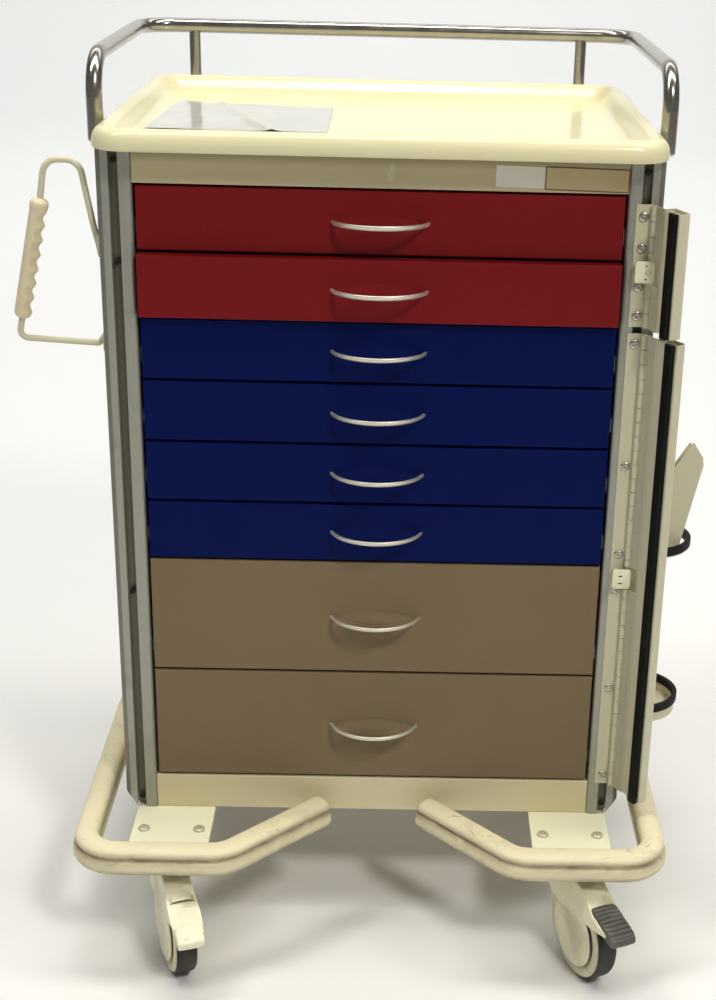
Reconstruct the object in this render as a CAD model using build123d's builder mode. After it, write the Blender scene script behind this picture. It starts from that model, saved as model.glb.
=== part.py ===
"""Medication cart: an eight-drawer cabinet on four casters, with a rail, a lock door and side fittings.

Millimetres. +Z is up and the floor is Z = 0. The drawers face -Y and +X is the viewer's right, looking
at the drawers. The origin is on the floor under the middle of the whole cart, fittings included.
"""

from build123d import *
import math
import os

os.makedirs("parts", exist_ok=True)

# ---- driving dimensions -------------------------------------------------------------------------
# cabinet
frame_width = 640.0
cabinet_depth = 430.0
front_y = -141.0
drawer_unit = 76.2
drawer_units = [1, 1, 1, 1, 1, 1, 2, 2]
stack_bottom = 213.0
cabinet_bottom = 162.0
cabinet_top = 1016.0
sheet = 2.0

# corner posts: square aluminium extrusion with a T-slot in its two outer faces
post_size = 40.0
post_radius = 5.0
slot_width = 11.0
slot_lip = 3.0
slot_cavity_width = 18.0
slot_cavity_depth = 6.0
post_foot_chamfer = 16.0
post_setback = -2.0

# drawers
drawer_width = 553.8
drawer_gap = 3.0
drawer_front_depth = 16.0
drawer_box_width = 500.0
drawer_box_back = 404.0
drawer_box_clear = 8.0
second_drawer_pulled = 12.0
dish_width = 106.0
dish_height = 22.0
dish_depth = 1.2
pull_width = 110.0
pull_reach = 40.0
pull_rise = 2.8
pull_half_height = 3.8
pull_half_depth = 2.4
pull_foot = 4.4

# runners
runner_length = 384.0
runner_height = 28.0
runner_depth = 11.0
slide_height = 18.0
slide_reach = 13.0
slide_clear = 0.5

# tray
tray_half_width = 322.0
tray_front_overhang = 42.0
tray_back_overhang = 16.0
tray_bottom = 1016.0
tray_crest = 1040.0
tray_floor = 1021.0
tray_corner = 42.0
rim_wall_top = 1034.0
rim_shoulder = 14.0
rim_crest = 4.0
rim_inner = 16.0

# guard rail
rail_radius = 9.5
rail_half_width = 332.5
rail_leg_y = 85.0
rail_back_y = 460.0
rail_height = 1101.5
rail_leg_bottom = 1005.0
rail_bend = 45.0
upright_radius = 7.5
upright_x = 262.0
upright_bottom = 986.0

# lock doors
hinge_x = 309.0
hinge_y = -8.0
hinge_radius = 3.5
hinge_pin = 1.47
hinge_bore_fixed = 1.5
hinge_bore_moving = 1.55
knuckle_length = 18.0
knuckle_gap = 0.4
leaf_width = 20.0
leaf_thick = 1.5
door_width = 55.0
door_step = 20.0
door_depth = 16.0
door_wall = 1.6
door_flange = 24.0
strip_width = 13.0
strip_thick = 6.0
upper_door = dict(bottom=822.5, top=965.0, open=112.0, plate=889.5, screws=[951.0, 915.0, 870.0, 836.0])
lower_screws = [802.0, 650.0, 535.0, 488.0, 350.0, 223.5]
lower_door = dict(bottom=210.0, top=814.6, open=124.0, plate=506.0, screws=lower_screws)
lock_plate_height = 25.0
lock_plate_width = 21.0
lock_plate_notch = 19.2

# base, bumpers and casters
plate_thick = 5.0
plate_width = 100.0
plate_x = 255.0
bumper_height = 28.0
bumper_width = 33.0
bumper_half_width = 372.0
bumper_front_y = -152.0
bumper_back_y = 485.0
bumper_corner = 60.0
bumper_bend_x = 180.0
bumper_end_x = 66.0
bumper_arm_back_y = -20.0
bumper_back_end_x = 70.0
caster_x = 258.0
caster_front_y = -77.5
caster_back_y = 395.0
wheel_radius = 62.5
wheel_width = 29.0
rim_radius = 56.0
wheel_trail = 38.0
axle_radius = 4.98
axle_bore_fixed = 5.0
axle_bore_running = 5.05
fork_half_width = 20.0
cheek_inner = 17.2
cover_radius = 45.0
cover_face = 18.6
spigot_radius = 6.0
spigot_bore = 6.05
pedal_pivot = (65.0, 124.2)
pedal_pin = 1.8
pedal_bore = 1.85
pedal_barrel = 3.2
pedal_half_width = 15.5
pedal_travel = 15.0
pedal_ribs = 8
casters = {
    "front_left": dict(x=-caster_x, y=caster_front_y, turn=-69.5),
    "front_right": dict(x=caster_x, y=caster_front_y, turn=-66.3),
    "rear_left": dict(x=-caster_x, y=caster_back_y, turn=-76.0),
    "rear_right": dict(x=caster_x, y=caster_back_y, turn=-70.0),
}

# screws
bolt_radius = 7.5
bolt_height = 4.0
screw_radius = 5.0
screw_height = 2.8

# side handle and cylinder holder
handle_y = 18.0
handle_radius = 3.8
grip_radius = 10.8
hoop_x = 373.0
hoop_y = 240.0
hoop_radius = 58.0
hoop_height = 454.0
cup_bottom = 196.0
cup_top = 220.0
arm_thick = 2.0
arm_gap = 28.0

# ---- helpers ------------------------------------------------------------------------------------
half_frame = frame_width / 2
post_x = half_frame - post_size / 2
inner_half = half_frame - post_size
post_front_y = front_y + post_setback
post_back_y = front_y + cabinet_depth - post_size


def save(shape, label):
    """Name a finished piece and write it as its own file."""
    shape.label = label
    export_step(shape, f"parts/{label}.step")


def group(shapes):
    """Several separate solids that share one node."""
    return Compound(children=list(shapes))


def ring(plane, outer, inner, height):
    """A plain ring standing on a plane."""
    with BuildPart() as made:
        with BuildSketch(plane):
            Circle(outer)
            Circle(inner, mode=Mode.SUBTRACT)
        extrude(amount=height)
    return made.part


def block(x_range, y_range, z_range):
    """A rectangular plate or bar between three pairs of limits."""
    with BuildPart() as made:
        with BuildSketch(Plane.XY.offset(z_range[0])):
            with Locations(((x_range[0] + x_range[1]) / 2, (y_range[0] + y_range[1]) / 2)):
                Rectangle(x_range[1] - x_range[0], y_range[1] - y_range[0])
        extrude(amount=z_range[1] - z_range[0])
    return made.part


# ---- corner posts -------------------------------------------------------------------------------
with BuildPart() as post:
    with BuildSketch(Plane.XY.offset(cabinet_bottom)):
        RectangleRounded(post_size, post_size, post_radius)
        for turn in (0, 90):
            with Locations(Location((0, 0, 0), (0, 0, turn))):
                with Locations((0, -post_size / 2 + slot_lip / 2)):
                    Rectangle(slot_width, slot_lip, mode=Mode.SUBTRACT)
                with Locations((0, -post_size / 2 + slot_lip + slot_cavity_depth / 2)):
                    Rectangle(slot_cavity_width, slot_cavity_depth, mode=Mode.SUBTRACT)
    extrude(amount=cabinet_top - cabinet_bottom)
    # the outer foot of each post is cut off at an angle, clear of the bumper
    with BuildSketch(Plane.XZ):
        with BuildLine():
            Polyline(
                (post_size / 2, cabinet_bottom),
                (post_size / 2, cabinet_bottom + 1.5 * post_foot_chamfer),
                (post_size / 2 - post_foot_chamfer, cabinet_bottom),
                close=True,
            )
        make_face()
    extrude(amount=post_size, both=True, mode=Mode.SUBTRACT)

front_right_post = Pos(post_x, post_front_y + post_size / 2, 0) * post.part
rear_right_post = mirror(post.part, Plane.XZ)
rear_right_post = Pos(post_x, post_back_y + post_size / 2, 0) * rear_right_post
right_posts = [front_right_post, rear_right_post]
left_posts = [mirror(piece, Plane.YZ) for piece in right_posts]
save(group(right_posts + left_posts), "corner_posts")

# ---- cabinet skin -------------------------------------------------------------------------------
panel_x = half_frame - 8.0
panel_front = post_front_y + post_size
side_panel = block((panel_x - sheet, panel_x), (panel_front, post_back_y), (cabinet_bottom, cabinet_top))
back_y = front_y + cabinet_depth - 8.0
back_panel = block((-inner_half, inner_half), (back_y - sheet, back_y), (cabinet_bottom, cabinet_top))
save(group([side_panel, mirror(side_panel, Plane.YZ), back_panel]), "cabinet_panels")

deck_front = front_y + drawer_front_depth
deck_top = cabinet_bottom + 3.0
base_deck = block((-inner_half, inner_half), (deck_front, back_y - sheet), (cabinet_bottom, deck_top))
save(base_deck, "base_deck")


def front_channel(bottom, top, lower_flange):
    """A folded front strip: a face with a flange running back along its top and bottom."""
    face = (-inner_half, inner_half)
    depth = drawer_front_depth - 2.0
    with BuildPart() as made:
        with BuildSketch(Plane.YZ.offset(face[0])):
            with BuildLine():
                Polyline(
                    (front_y + depth, bottom),
                    (front_y, bottom),
                    (front_y, top),
                    (front_y + depth, top),
                    (front_y + depth, top - sheet),
                    (front_y + sheet, top - sheet),
                    (front_y + sheet, bottom + lower_flange),
                    (front_y + depth, bottom + lower_flange),
                    close=True,
                )
            make_face()
        extrude(amount=face[1] - face[0])
        fillet(made.edges().filter_by(Axis.X).sort_by(Axis.Y)[:2], radius=1.5)
    return made.part


stack_top = stack_bottom + sum(drawer_units) * drawer_unit
save(front_channel(stack_top, cabinet_top, sheet), "header_panel")
save(front_channel(cabinet_bottom, stack_bottom - drawer_gap, sheet), "base_panel")

# ---- drawers and runners ------------------------------------------------------------------------
fixed_runners = []


def make_drawer(number, bottom, units, pulled):
    """One drawer: its folded front, its open box with a slide on each side, and its bow pull."""
    front_face = front_y - pulled
    low = bottom
    high = bottom + units * drawer_unit - drawer_gap
    middle = (low + high) / 2

    with BuildPart() as panel:
        with BuildSketch(Plane.XZ.offset(-front_face)):
            with Locations((0, middle)):
                Rectangle(drawer_width, high - low)
        extrude(amount=-drawer_front_depth)
        front_edges = panel.faces().sort_by(Axis.Y)[0].edges()
        fillet(front_edges, radius=2.0)
        # hollow back, so that the front is a folded sheet
        with BuildSketch(Plane.XZ.offset(-front_face - drawer_front_depth)):
            with Locations((0, middle)):
                Rectangle(drawer_width - 2 * sheet, high - low - 2 * sheet)
        extrude(amount=drawer_front_depth - 2 * sheet, mode=Mode.SUBTRACT)
        # shallow dish behind the pull, a lens of two arcs
        with BuildSketch(Plane.XZ.offset(-front_face)):
            with BuildLine():
                dish_left = (-dish_width / 2, middle)
                dish_right = (dish_width / 2, middle)
                ThreePointArc(dish_left, (0, middle + dish_height / 2), dish_right)
                ThreePointArc(dish_right, (0, middle - dish_height / 2), dish_left)
            make_face()
        extrude(amount=-dish_depth, taper=20, mode=Mode.SUBTRACT)
    save(panel.part, f"drawer_{number}_front")

    box_front = front_face + drawer_front_depth
    box_back = front_y + drawer_box_back - pulled
    box_low = low + 5.0
    box_high = high - drawer_box_clear
    half = drawer_box_width / 2
    shell = block((-half, half), (box_front, box_back), (box_low, box_high))
    hollow = block(
        (-half + sheet, half - sheet),
        (box_front + sheet, box_back - sheet),
        (box_low + sheet, box_high + 1.0),
    )
    slide_middle = box_low + 10.0 + slide_height / 2
    slide_limits = (slide_middle - slide_height / 2, slide_middle + slide_height / 2)
    slide = block((half, half + slide_reach), (box_front, box_front + runner_length - 2.0), slide_limits)
    save(group([shell - hollow, slide, mirror(slide, Plane.YZ)]), f"drawer_{number}_box")

    with BuildPart() as pull:
        end_x = pull_width / 2 + 1.5
        with BuildLine() as bow:
            ThreePointArc(
                (-end_x, front_face + 2.0, middle),
                (0, front_face - pull_reach, middle + pull_rise),
                (end_x, front_face + 2.0, middle),
            )
        with BuildSketch(Plane(origin=bow.line @ 0, x_dir=(0, 0, 1), z_dir=bow.line % 0)):
            Ellipse(pull_half_height, pull_half_depth)
        sweep()
        # the ends are cut flush with the drawer front and stand on small round feet
        with BuildSketch(Plane.XZ.offset(-front_face)):
            with Locations((0, middle)):
                Rectangle(2 * drawer_width, 4 * pull_width)
        extrude(amount=-drawer_front_depth, mode=Mode.SUBTRACT)
        with BuildSketch(Plane.XZ.offset(-front_face)):
            with Locations((-pull_width / 2, middle), (pull_width / 2, middle)):
                Circle(pull_foot)
        extrude(amount=1.0)
    save(pull.part, f"drawer_{number}_pull")

    clear = slide_clear
    channel_x = half + slide_reach - 8.0
    channel = block(
        (channel_x, channel_x + runner_depth),
        (front_y + drawer_front_depth + 2.0, front_y + drawer_front_depth + runner_length),
        (slide_middle - runner_height / 2, slide_middle + runner_height / 2),
    )
    slot = block(
        (channel_x - 1.0, half + slide_reach + clear),
        (front_y, front_y + cabinet_depth),
        (slide_limits[0] - clear, slide_limits[1] + clear),
    )
    bracket_heights = (slide_middle - 9.0, slide_middle + 9.0)
    bracket_front = block(
        (channel_x + runner_depth, inner_half),
        (post_front_y + post_size - 20.0, post_front_y + post_size),
        bracket_heights,
    )
    bracket_back = block(
        (channel_x + runner_depth, inner_half),
        (post_back_y, front_y + drawer_front_depth + runner_length),
        bracket_heights,
    )
    right = channel - slot + bracket_front + bracket_back
    fixed_runners.extend([right, mirror(right, Plane.YZ)])


drawer_top = stack_top
for index, units in enumerate(drawer_units):
    drawer_bottom = drawer_top - units * drawer_unit
    make_drawer(index + 1, drawer_bottom, units, second_drawer_pulled if index == 1 else 0.0)
    drawer_top = drawer_bottom
save(group(fixed_runners), "runner_channels")

# ---- top tray -----------------------------------------------------------------------------------
tray_front = front_y - tray_front_overhang
tray_back = front_y + cabinet_depth + tray_back_overhang
tray_middle = (tray_front + tray_back) / 2
tray_length = tray_back - tray_front
shoulder_slope = math.degrees(math.atan(rim_shoulder / (tray_crest - rim_wall_top)))
inner_slope = math.degrees(math.atan(rim_inner / (tray_crest - tray_floor)))
with BuildPart() as tray:
    with BuildSketch(Plane.XY.offset(tray_bottom)):
        with Locations((0, tray_middle)):
            RectangleRounded(2 * tray_half_width, tray_length, tray_corner)
    extrude(amount=rim_wall_top - tray_bottom)
    with BuildSketch(Plane.XY.offset(rim_wall_top)):
        with Locations((0, tray_middle)):
            RectangleRounded(2 * tray_half_width, tray_length, tray_corner)
    extrude(amount=tray_crest - rim_wall_top, taper=shoulder_slope)
    shoulder_edges = tray.edges().filter_by_position(Axis.Z, rim_wall_top - 0.1, rim_wall_top + 0.1)
    fillet(shoulder_edges, radius=6.0)
    with BuildSketch(Plane.XY.offset(tray_crest)):
        with Locations((0, tray_middle)):
            inset = rim_shoulder + rim_crest
            RectangleRounded(2 * (tray_half_width - inset), tray_length - 2 * inset, tray_corner - 8.0)
    extrude(amount=tray_floor - tray_crest, taper=inner_slope, mode=Mode.SUBTRACT)
    fillet(tray.edges().group_by(Axis.Z)[-1], radius=1.8)
save(tray.part, "top_tray")

# ---- guard rail ---------------------------------------------------------------------------------
leg_y = front_y + rail_leg_y
back_run_y = front_y + rail_back_y
with BuildPart() as rail:
    with BuildLine():
        FilletPolyline(
            (-rail_half_width, leg_y, rail_leg_bottom),
            (-rail_half_width, leg_y, rail_height),
            (-rail_half_width, back_run_y, rail_height),
            (rail_half_width, back_run_y, rail_height),
            (rail_half_width, leg_y, rail_height),
            (rail_half_width, leg_y, rail_leg_bottom),
            radius=rail_bend,
        )
    with BuildSketch(Plane.XY.offset(rail_leg_bottom)):
        with Locations((-rail_half_width, leg_y)):
            Circle(rail_radius)
    sweep()
    fillet(rail.edges().group_by(Axis.Z)[0], radius=4.0)
    # two uprights and the pegs that fix the rail to the cabinet
    with BuildSketch(Plane.XY.offset(upright_bottom)):
        with Locations((-upright_x, back_run_y), (upright_x, back_run_y)):
            Circle(upright_radius)
    extrude(amount=rail_height - upright_bottom)
    with BuildSketch(Plane.XZ.offset(-back_y)):
        with Locations((-upright_x, upright_bottom + 10.0), (upright_x, upright_bottom + 10.0)):
            Circle(4.0)
    extrude(amount=-(back_run_y - back_y))
    for side in (-1, 1):
        with BuildSketch(Plane.YZ.offset(side * panel_x)):
            with Locations((leg_y, rail_leg_bottom + 5.0)):
                Circle(3.5)
        extrude(amount=side * (rail_half_width - panel_x))
save(rail.part, "guard_rail")

# ---- lock doors ---------------------------------------------------------------------------------
axis_y = front_y + hinge_y


def knuckle_bands(door, first):
    """The heights of every second knuckle of a hinge, starting at the first or the second one."""
    count = round((door["top"] - door["bottom"]) / knuckle_length)
    pitch = (door["top"] - door["bottom"]) / count
    bands = []
    for step in range(first, count, 2):
        start = door["bottom"] + step * pitch
        bands.append((start + knuckle_gap, start + pitch - knuckle_gap))
    return bands


def knuckles(door, first, bore):
    """Hinge barrels round the door's upright axis."""
    barrels = []
    for low, high in knuckle_bands(door, first):
        barrels.append(Pos(hinge_x, axis_y, 0) * ring(Plane.XY.offset(low), hinge_radius, bore, high - low))
    return barrels


def notch_limits(door, margin):
    """The heights between which the door is cut away round its lock plate."""
    reach = lock_plate_height / 2 + margin
    return (door["plate"] - reach, door["plate"] + reach)


def fixed_leaf(door):
    """The hinge leaf on the post: a flat strip joined to its barrels, screwed over the T-slot."""
    leaf_x = (hinge_x - leaf_width, hinge_x - 1.0)
    strip = block(leaf_x, (post_front_y - leaf_thick, post_front_y), (door["bottom"], door["top"]))
    tongues = None
    for low, high in knuckle_bands(door, 0):
        tongue = block((hinge_x - 2.2, hinge_x + 2.2), (axis_y, post_front_y), (low, high))
        tongues = tongue if tongues is None else tongues + tongue
    solid = strip + tongues
    for barrel in knuckles(door, 0, 0.0001):
        solid = solid + barrel
    bore = Pos(hinge_x, axis_y, door["bottom"] - 1.0) * Cylinder(
        hinge_bore_fixed, door["top"] - door["bottom"] + 2.0, align=(Align.CENTER, Align.CENTER, Align.MIN)
    )
    sweep_room = Pos(hinge_x, axis_y, 0) * Cylinder(hinge_radius + 0.4, 3000)
    gaps = None
    for low, high in knuckle_bands(door, 1):
        heights = (low - 2 * knuckle_gap, high + 2 * knuckle_gap)
        gap = sweep_room & block((hinge_x - 9.0, hinge_x + 9.0), (axis_y - 9.0, axis_y + 9.0), heights)
        gaps = gap if gaps is None else gaps + gap
    return solid - bore - gaps


def door_channel(door):
    """The moving channel, drawn closed (running towards -X from its hinge), then swung open."""
    low, high = door["bottom"], door["top"]
    left = hinge_x - door_width
    step_x = hinge_x - door_step
    back = axis_y
    front = axis_y - door_depth
    tongue_x = hinge_x - hinge_radius + 0.6
    nose = 7.0
    with BuildPart() as made:
        with BuildSketch(Plane.XY.offset(low)):
            with BuildLine():
                Polyline(
                    (tongue_x, back - door_wall),
                    (step_x, back - door_wall),
                    (step_x, front),
                    (left + nose, front),
                )
                TangentArc((left + nose, front), (left, front + nose), tangent=(-1, 0))
                Polyline(
                    (left, front + nose),
                    (left, back),
                    (left + door_flange, back),
                    (left + door_flange, back - door_wall),
                    (left + door_wall, back - door_wall),
                    (left + door_wall, front + nose),
                )
                inner_start = (left + door_wall, front + nose)
                TangentArc(inner_start, (left + nose, front + door_wall), tangent=(0, -1))
                Polyline(
                    (left + nose, front + door_wall),
                    (step_x - door_wall, front + door_wall),
                    (step_x - door_wall, back),
                    (tongue_x, back),
                    (tongue_x, back - door_wall),
                )
            make_face()
        extrude(amount=high - low)
    channel = made.part
    for barrel in knuckles(door, 1, 0.0001):
        channel = channel + barrel
    for band in knuckle_bands(door, 0):
        near_axis = (hinge_x - 5.5, hinge_x + 5.5)
        reach = (axis_y - 5.5, axis_y + 5.5)
        channel = channel - block(near_axis, reach, (band[0] - 2 * knuckle_gap, band[1] + 2 * knuckle_gap))
    notch = notch_limits(door, 3.0)
    channel = channel - block((hinge_x - lock_plate_notch, hinge_x + 9.0), (front - 5.0, back + 5.0), notch)
    bore = Pos(hinge_x, axis_y, low - 1.0) * Cylinder(
        hinge_bore_moving, high - low + 2.0, align=(Align.CENTER, Align.CENTER, Align.MIN)
    )
    return swing(channel - bore, door)


def swing(shape, door):
    """Turn a piece drawn closed to the door's resting angle, about the hinge axis."""
    hinge = Axis((hinge_x, axis_y, 0), (0, 0, 1))
    return shape.rotate(hinge, door["open"])


def door_strip(door):
    """The rubber strip under the channel's free flange, which presses on the drawer fronts."""
    left = hinge_x - door_width + 3.0
    with BuildPart() as made:
        with BuildSketch(Plane.XY.offset(door["bottom"])):
            with Locations((left + strip_width / 2, axis_y + strip_thick / 2)):
                Rectangle(strip_width, strip_thick)
        extrude(amount=door["top"] - door["bottom"])
        fillet(made.edges().filter_by(Axis.Z).group_by(Axis.Y)[-1], radius=2.0)
    return swing(made.part, door)


def lock_plate(door):
    """The small plate in front of the hinge, with a ring boss and two holes."""
    plate_left = hinge_x - lock_plate_width + 4.0
    plate_y = axis_y - hinge_radius - 0.6
    with BuildPart() as made:
        with BuildSketch(Plane.XZ.offset(-plate_y)):
            with Locations((plate_left + lock_plate_width / 2, door["plate"])):
                RectangleRounded(lock_plate_width, lock_plate_height, 3.5)
        extrude(amount=leaf_thick)
        with BuildSketch(Plane.XZ.offset(-plate_y + leaf_thick)):
            with Locations((hinge_x - 1.5, door["plate"])):
                Circle(4.0)
                Circle(2.6, mode=Mode.SUBTRACT)
        extrude(amount=0.8)
        with BuildSketch(Plane.XZ.offset(-plate_y + leaf_thick)):
            with Locations((hinge_x - 4.0, door["plate"] - 7.5), (hinge_x - 4.0, door["plate"] + 7.5)):
                Circle(1.1)
        extrude(amount=-leaf_thick, mode=Mode.SUBTRACT)
        # two legs stand the plate off the hinge leaf
        with BuildSketch(Plane.XZ.offset(-plate_y)):
            with Locations((plate_left + 3.0, door["plate"] - 8.0), (plate_left + 3.0, door["plate"] + 8.0)):
                Rectangle(5.0, 5.0)
        extrude(amount=-(post_front_y - leaf_thick - plate_y))
    return made.part


leaves = []
for door, name in ((upper_door, "upper"), (lower_door, "lower")):
    pin = Pos(hinge_x, axis_y, door["bottom"]) * Cylinder(
        hinge_pin, door["top"] - door["bottom"], align=(Align.CENTER, Align.CENTER, Align.MIN)
    )
    leaves.extend([fixed_leaf(door), pin, lock_plate(door)])
    save(door_channel(door), f"lock_door_{name}")
    save(door_strip(door), f"lock_strip_{name}")
save(group(leaves), "hinge_leaves")

# ---- base plates and bumpers --------------------------------------------------------------------
plate_bottom = cabinet_bottom - plate_thick
plates = []
for side in (-1, 1):
    x_middle = side * plate_x
    x_limits = (x_middle - plate_width / 2, x_middle + plate_width / 2)
    plates.append(block(x_limits, (front_y - 138.0, front_y + 40.0), (plate_bottom, cabinet_bottom)))
    plates.append(block(x_limits, (front_y + 335.0, front_y + 472.0), (plate_bottom, cabinet_bottom)))
save(group(plates), "corner_plates")

centre_offset = bumper_width / 2
run_front = front_y + bumper_front_y + centre_offset
run_back = front_y + bumper_back_y - centre_offset
run_side = bumper_half_width - centre_offset
with BuildPart() as bumper:
    with BuildLine() as bumper_path:
        FilletPolyline(
            (-bumper_end_x, front_y + bumper_arm_back_y, cabinet_bottom),
            (-bumper_bend_x, run_front, cabinet_bottom),
            (-run_side, run_front, cabinet_bottom),
            (-run_side, run_back, cabinet_bottom),
            (-bumper_back_end_x, run_back, cabinet_bottom),
            radius=bumper_corner - centre_offset,
        )
    start = bumper_path.line @ 0
    heading = bumper_path.line % 0
    section = Plane(origin=start, x_dir=(-heading.Y, heading.X, 0), z_dir=heading)
    with BuildSketch(section):
        with BuildLine():
            half = bumper_width / 2
            Polyline(
                (-half, 0),
                (half, 0),
                (half, 8.0),
                (half - 2.5, 10.5),
                (half - 0.5, 12.5),
                (half - 0.5, bumper_height - 9.0),
            )
            RadiusArc((half - 0.5, bumper_height - 9.0), (half - 9.5, bumper_height), -9.0)
            Line((half - 9.5, bumper_height), (-half + 9.0, bumper_height))
            RadiusArc((-half + 9.0, bumper_height), (-half, bumper_height - 9.0), -9.0)
            Line((-half, bumper_height - 9.0), (-half, 0))
        make_face()
    sweep()
save(group([bumper.part, mirror(bumper.part, Plane.YZ)]), "bumper_rails")

# ---- casters ------------------------------------------------------------------------------------
hub_z = wheel_radius
mounts = []
with BuildPart() as mount:
    with BuildSketch(Plane.XY.offset(plate_bottom - plate_thick)):
        RectangleRounded(92, 92, 8)
    extrude(amount=plate_thick)
    with BuildSketch(Plane.XY.offset(plate_bottom - plate_thick)):
        Circle(27)
    extrude(amount=-8.0, taper=12)
    with BuildSketch(Plane.XY.offset(plate_bottom - plate_thick - 8.0)):
        Circle(spigot_radius)
    extrude(amount=-8.0)
mount_low = plate_bottom - plate_thick - 8.0

wheel_centre = (wheel_trail, hub_z)
crown_top = mount_low - 0.3
hood_top = mount_low - 4.0
nose_high = (54.0, 138.0)
nose_low = (78.0, 123.5)
with BuildPart() as fork:
    # crown under the swivel bearing
    with BuildSketch(Plane.XY.offset(crown_top)):
        Circle(25.0)
    extrude(amount=-14.0)
    # hood over the top of the wheel, with a thin lip over the pedal's pivot
    with BuildSketch(Plane.XZ):
        with BuildLine():
            Polyline(
                (-30.0, hood_top),
                (26.0, hood_top),
                nose_high,
                nose_low,
                (nose_low[0], nose_low[1] - 2.9),
                (60.5, 131.2),
                (60.5, 112.0),
                (-26.0, 96.0),
                (-30.0, 110.0),
                close=True,
            )
        make_face()
        with Locations(wheel_centre):
            Circle(wheel_radius + 3.5, mode=Mode.SUBTRACT)
    extrude(amount=fork_half_width, both=True)
    # two cheeks: a wing that ends in a point beside the pedal, and a round cover over the side of the wheel
    for side in (-1, 1):
        with BuildSketch(Plane.XZ.offset(side * cheek_inner)):
            with BuildLine():
                Polyline(
                    (-30.0, hood_top),
                    (26.0, hood_top),
                    nose_high,
                    nose_low,
                    (84.0, 119.5),
                    (117.0, 109.5),
                    (117.5, 106.0),
                    (88.5, 98.0),
                    (38.0, 92.0),
                    (-14.0, 88.0),
                    (-30.0, 106.0),
                    close=True,
                )
            make_face()
        extrude(amount=side * (fork_half_width - cheek_inner))
        with BuildSketch(Plane.XZ.offset(side * (wheel_width / 2 + 1.0))):
            with Locations(wheel_centre):
                Circle(cover_radius)
        extrude(amount=side * (cover_face - wheel_width / 2 - 1.0))
    with BuildSketch(Plane.XZ):
        with Locations(pedal_pivot):
            Circle(pedal_pin)
    extrude(amount=fork_half_width, both=True)
    with BuildSketch(Plane.XZ):
        with Locations(wheel_centre):
            Circle(axle_bore_fixed)
    extrude(amount=fork_half_width + 1, both=True, mode=Mode.SUBTRACT)
    with BuildSketch(Plane.XY.offset(mount_low + 1.0)):
        Circle(spigot_bore)
    extrude(amount=-9.6, mode=Mode.SUBTRACT)

with BuildPart() as axle:
    with BuildSketch(Plane.XZ):
        with Locations(wheel_centre):
            Circle(axle_radius)
    extrude(amount=cover_face, both=True)

with BuildPart() as rim:
    # half section, turned about the axle: hub, thin web, and the ring that carries the tyre
    half_width = wheel_width / 2
    with BuildSketch(Plane.XY):
        with BuildLine():
            Polyline(
                (axle_bore_running, -half_width),
                (14.0, -half_width),
                (17.0, -5.0),
                (44.0, -5.0),
                (47.0, -half_width),
                (rim_radius, -half_width),
                (rim_radius, half_width),
                (47.0, half_width),
                (44.0, 5.0),
                (17.0, 5.0),
                (14.0, half_width),
                (axle_bore_running, half_width),
                close=True,
            )
        make_face()
    revolve(axis=Axis.Y)
rim_here = Pos(wheel_trail, 0, hub_z) * rim.part

with BuildPart() as tyre:
    with BuildSketch(Plane.XY):
        with BuildLine():
            Polyline(
                (rim_radius, -half_width + 0.5),
                (wheel_radius - 3.5, -half_width + 1.5),
                (wheel_radius - 1.0, -half_width + 5.0),
            )
            ThreePointArc(
                (wheel_radius - 1.0, -half_width + 5.0),
                (wheel_radius, 0),
                (wheel_radius - 1.0, half_width - 5.0),
            )
            Polyline(
                (wheel_radius - 1.0, half_width - 5.0),
                (wheel_radius - 3.5, half_width - 1.5),
                (rim_radius, half_width - 0.5),
                (rim_radius, -half_width + 0.5),
            )
        make_face()
    revolve(axis=Axis.Y)
tyre_here = Pos(wheel_trail, 0, hub_z) * tyre.part

with BuildPart() as pedal:
    # drawn raised: a barrel round the pin, a short lug under the hood's lip and a ribbed tread
    tread_start = (79.0, 121.5)
    tread_end = (131.0, 109.0)
    with BuildSketch(Plane.XZ):
        with BuildLine():
            Polyline(
                tread_start,
                tread_end,
                (134.0, 105.0),
                (133.0, 98.5),
                (118.0, 98.5),
                (80.0, 108.0),
                (64.0, 118.0),
                (62.5, 124.0),
                (65.0, 127.2),
                (67.0, 126.4),
                (78.2, 117.5),
                close=True,
            )
        make_face()
        with Locations(pedal_pivot):
            Circle(pedal_barrel)
        # the wheel's room, at three angles of the pedal
        for share in (0.0, 0.5, 1.0):
            angle = math.radians(share * pedal_travel)
            reach_x = wheel_centre[0] - pedal_pivot[0]
            reach_z = wheel_centre[1] - pedal_pivot[1]
            room_x = pedal_pivot[0] + reach_x * math.cos(angle) - reach_z * math.sin(angle)
            room_z = pedal_pivot[1] + reach_x * math.sin(angle) + reach_z * math.cos(angle)
            with Locations((room_x, room_z)):
                Circle(wheel_radius + 1.0, mode=Mode.SUBTRACT)
        with Locations(pedal_pivot):
            Circle(pedal_bore, mode=Mode.SUBTRACT)
    extrude(amount=pedal_half_width, both=True)
    for step in range(pedal_ribs):
        share = (step + 0.7) / pedal_ribs
        rib_x = tread_start[0] + share * (tread_end[0] - tread_start[0])
        rib_z = tread_start[1] + share * (tread_end[1] - tread_start[1])
        with BuildSketch(Plane.XZ):
            with Locations((rib_x, rib_z)):
                Circle(1.4)
        extrude(amount=pedal_half_width - 1.0, both=True)

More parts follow.
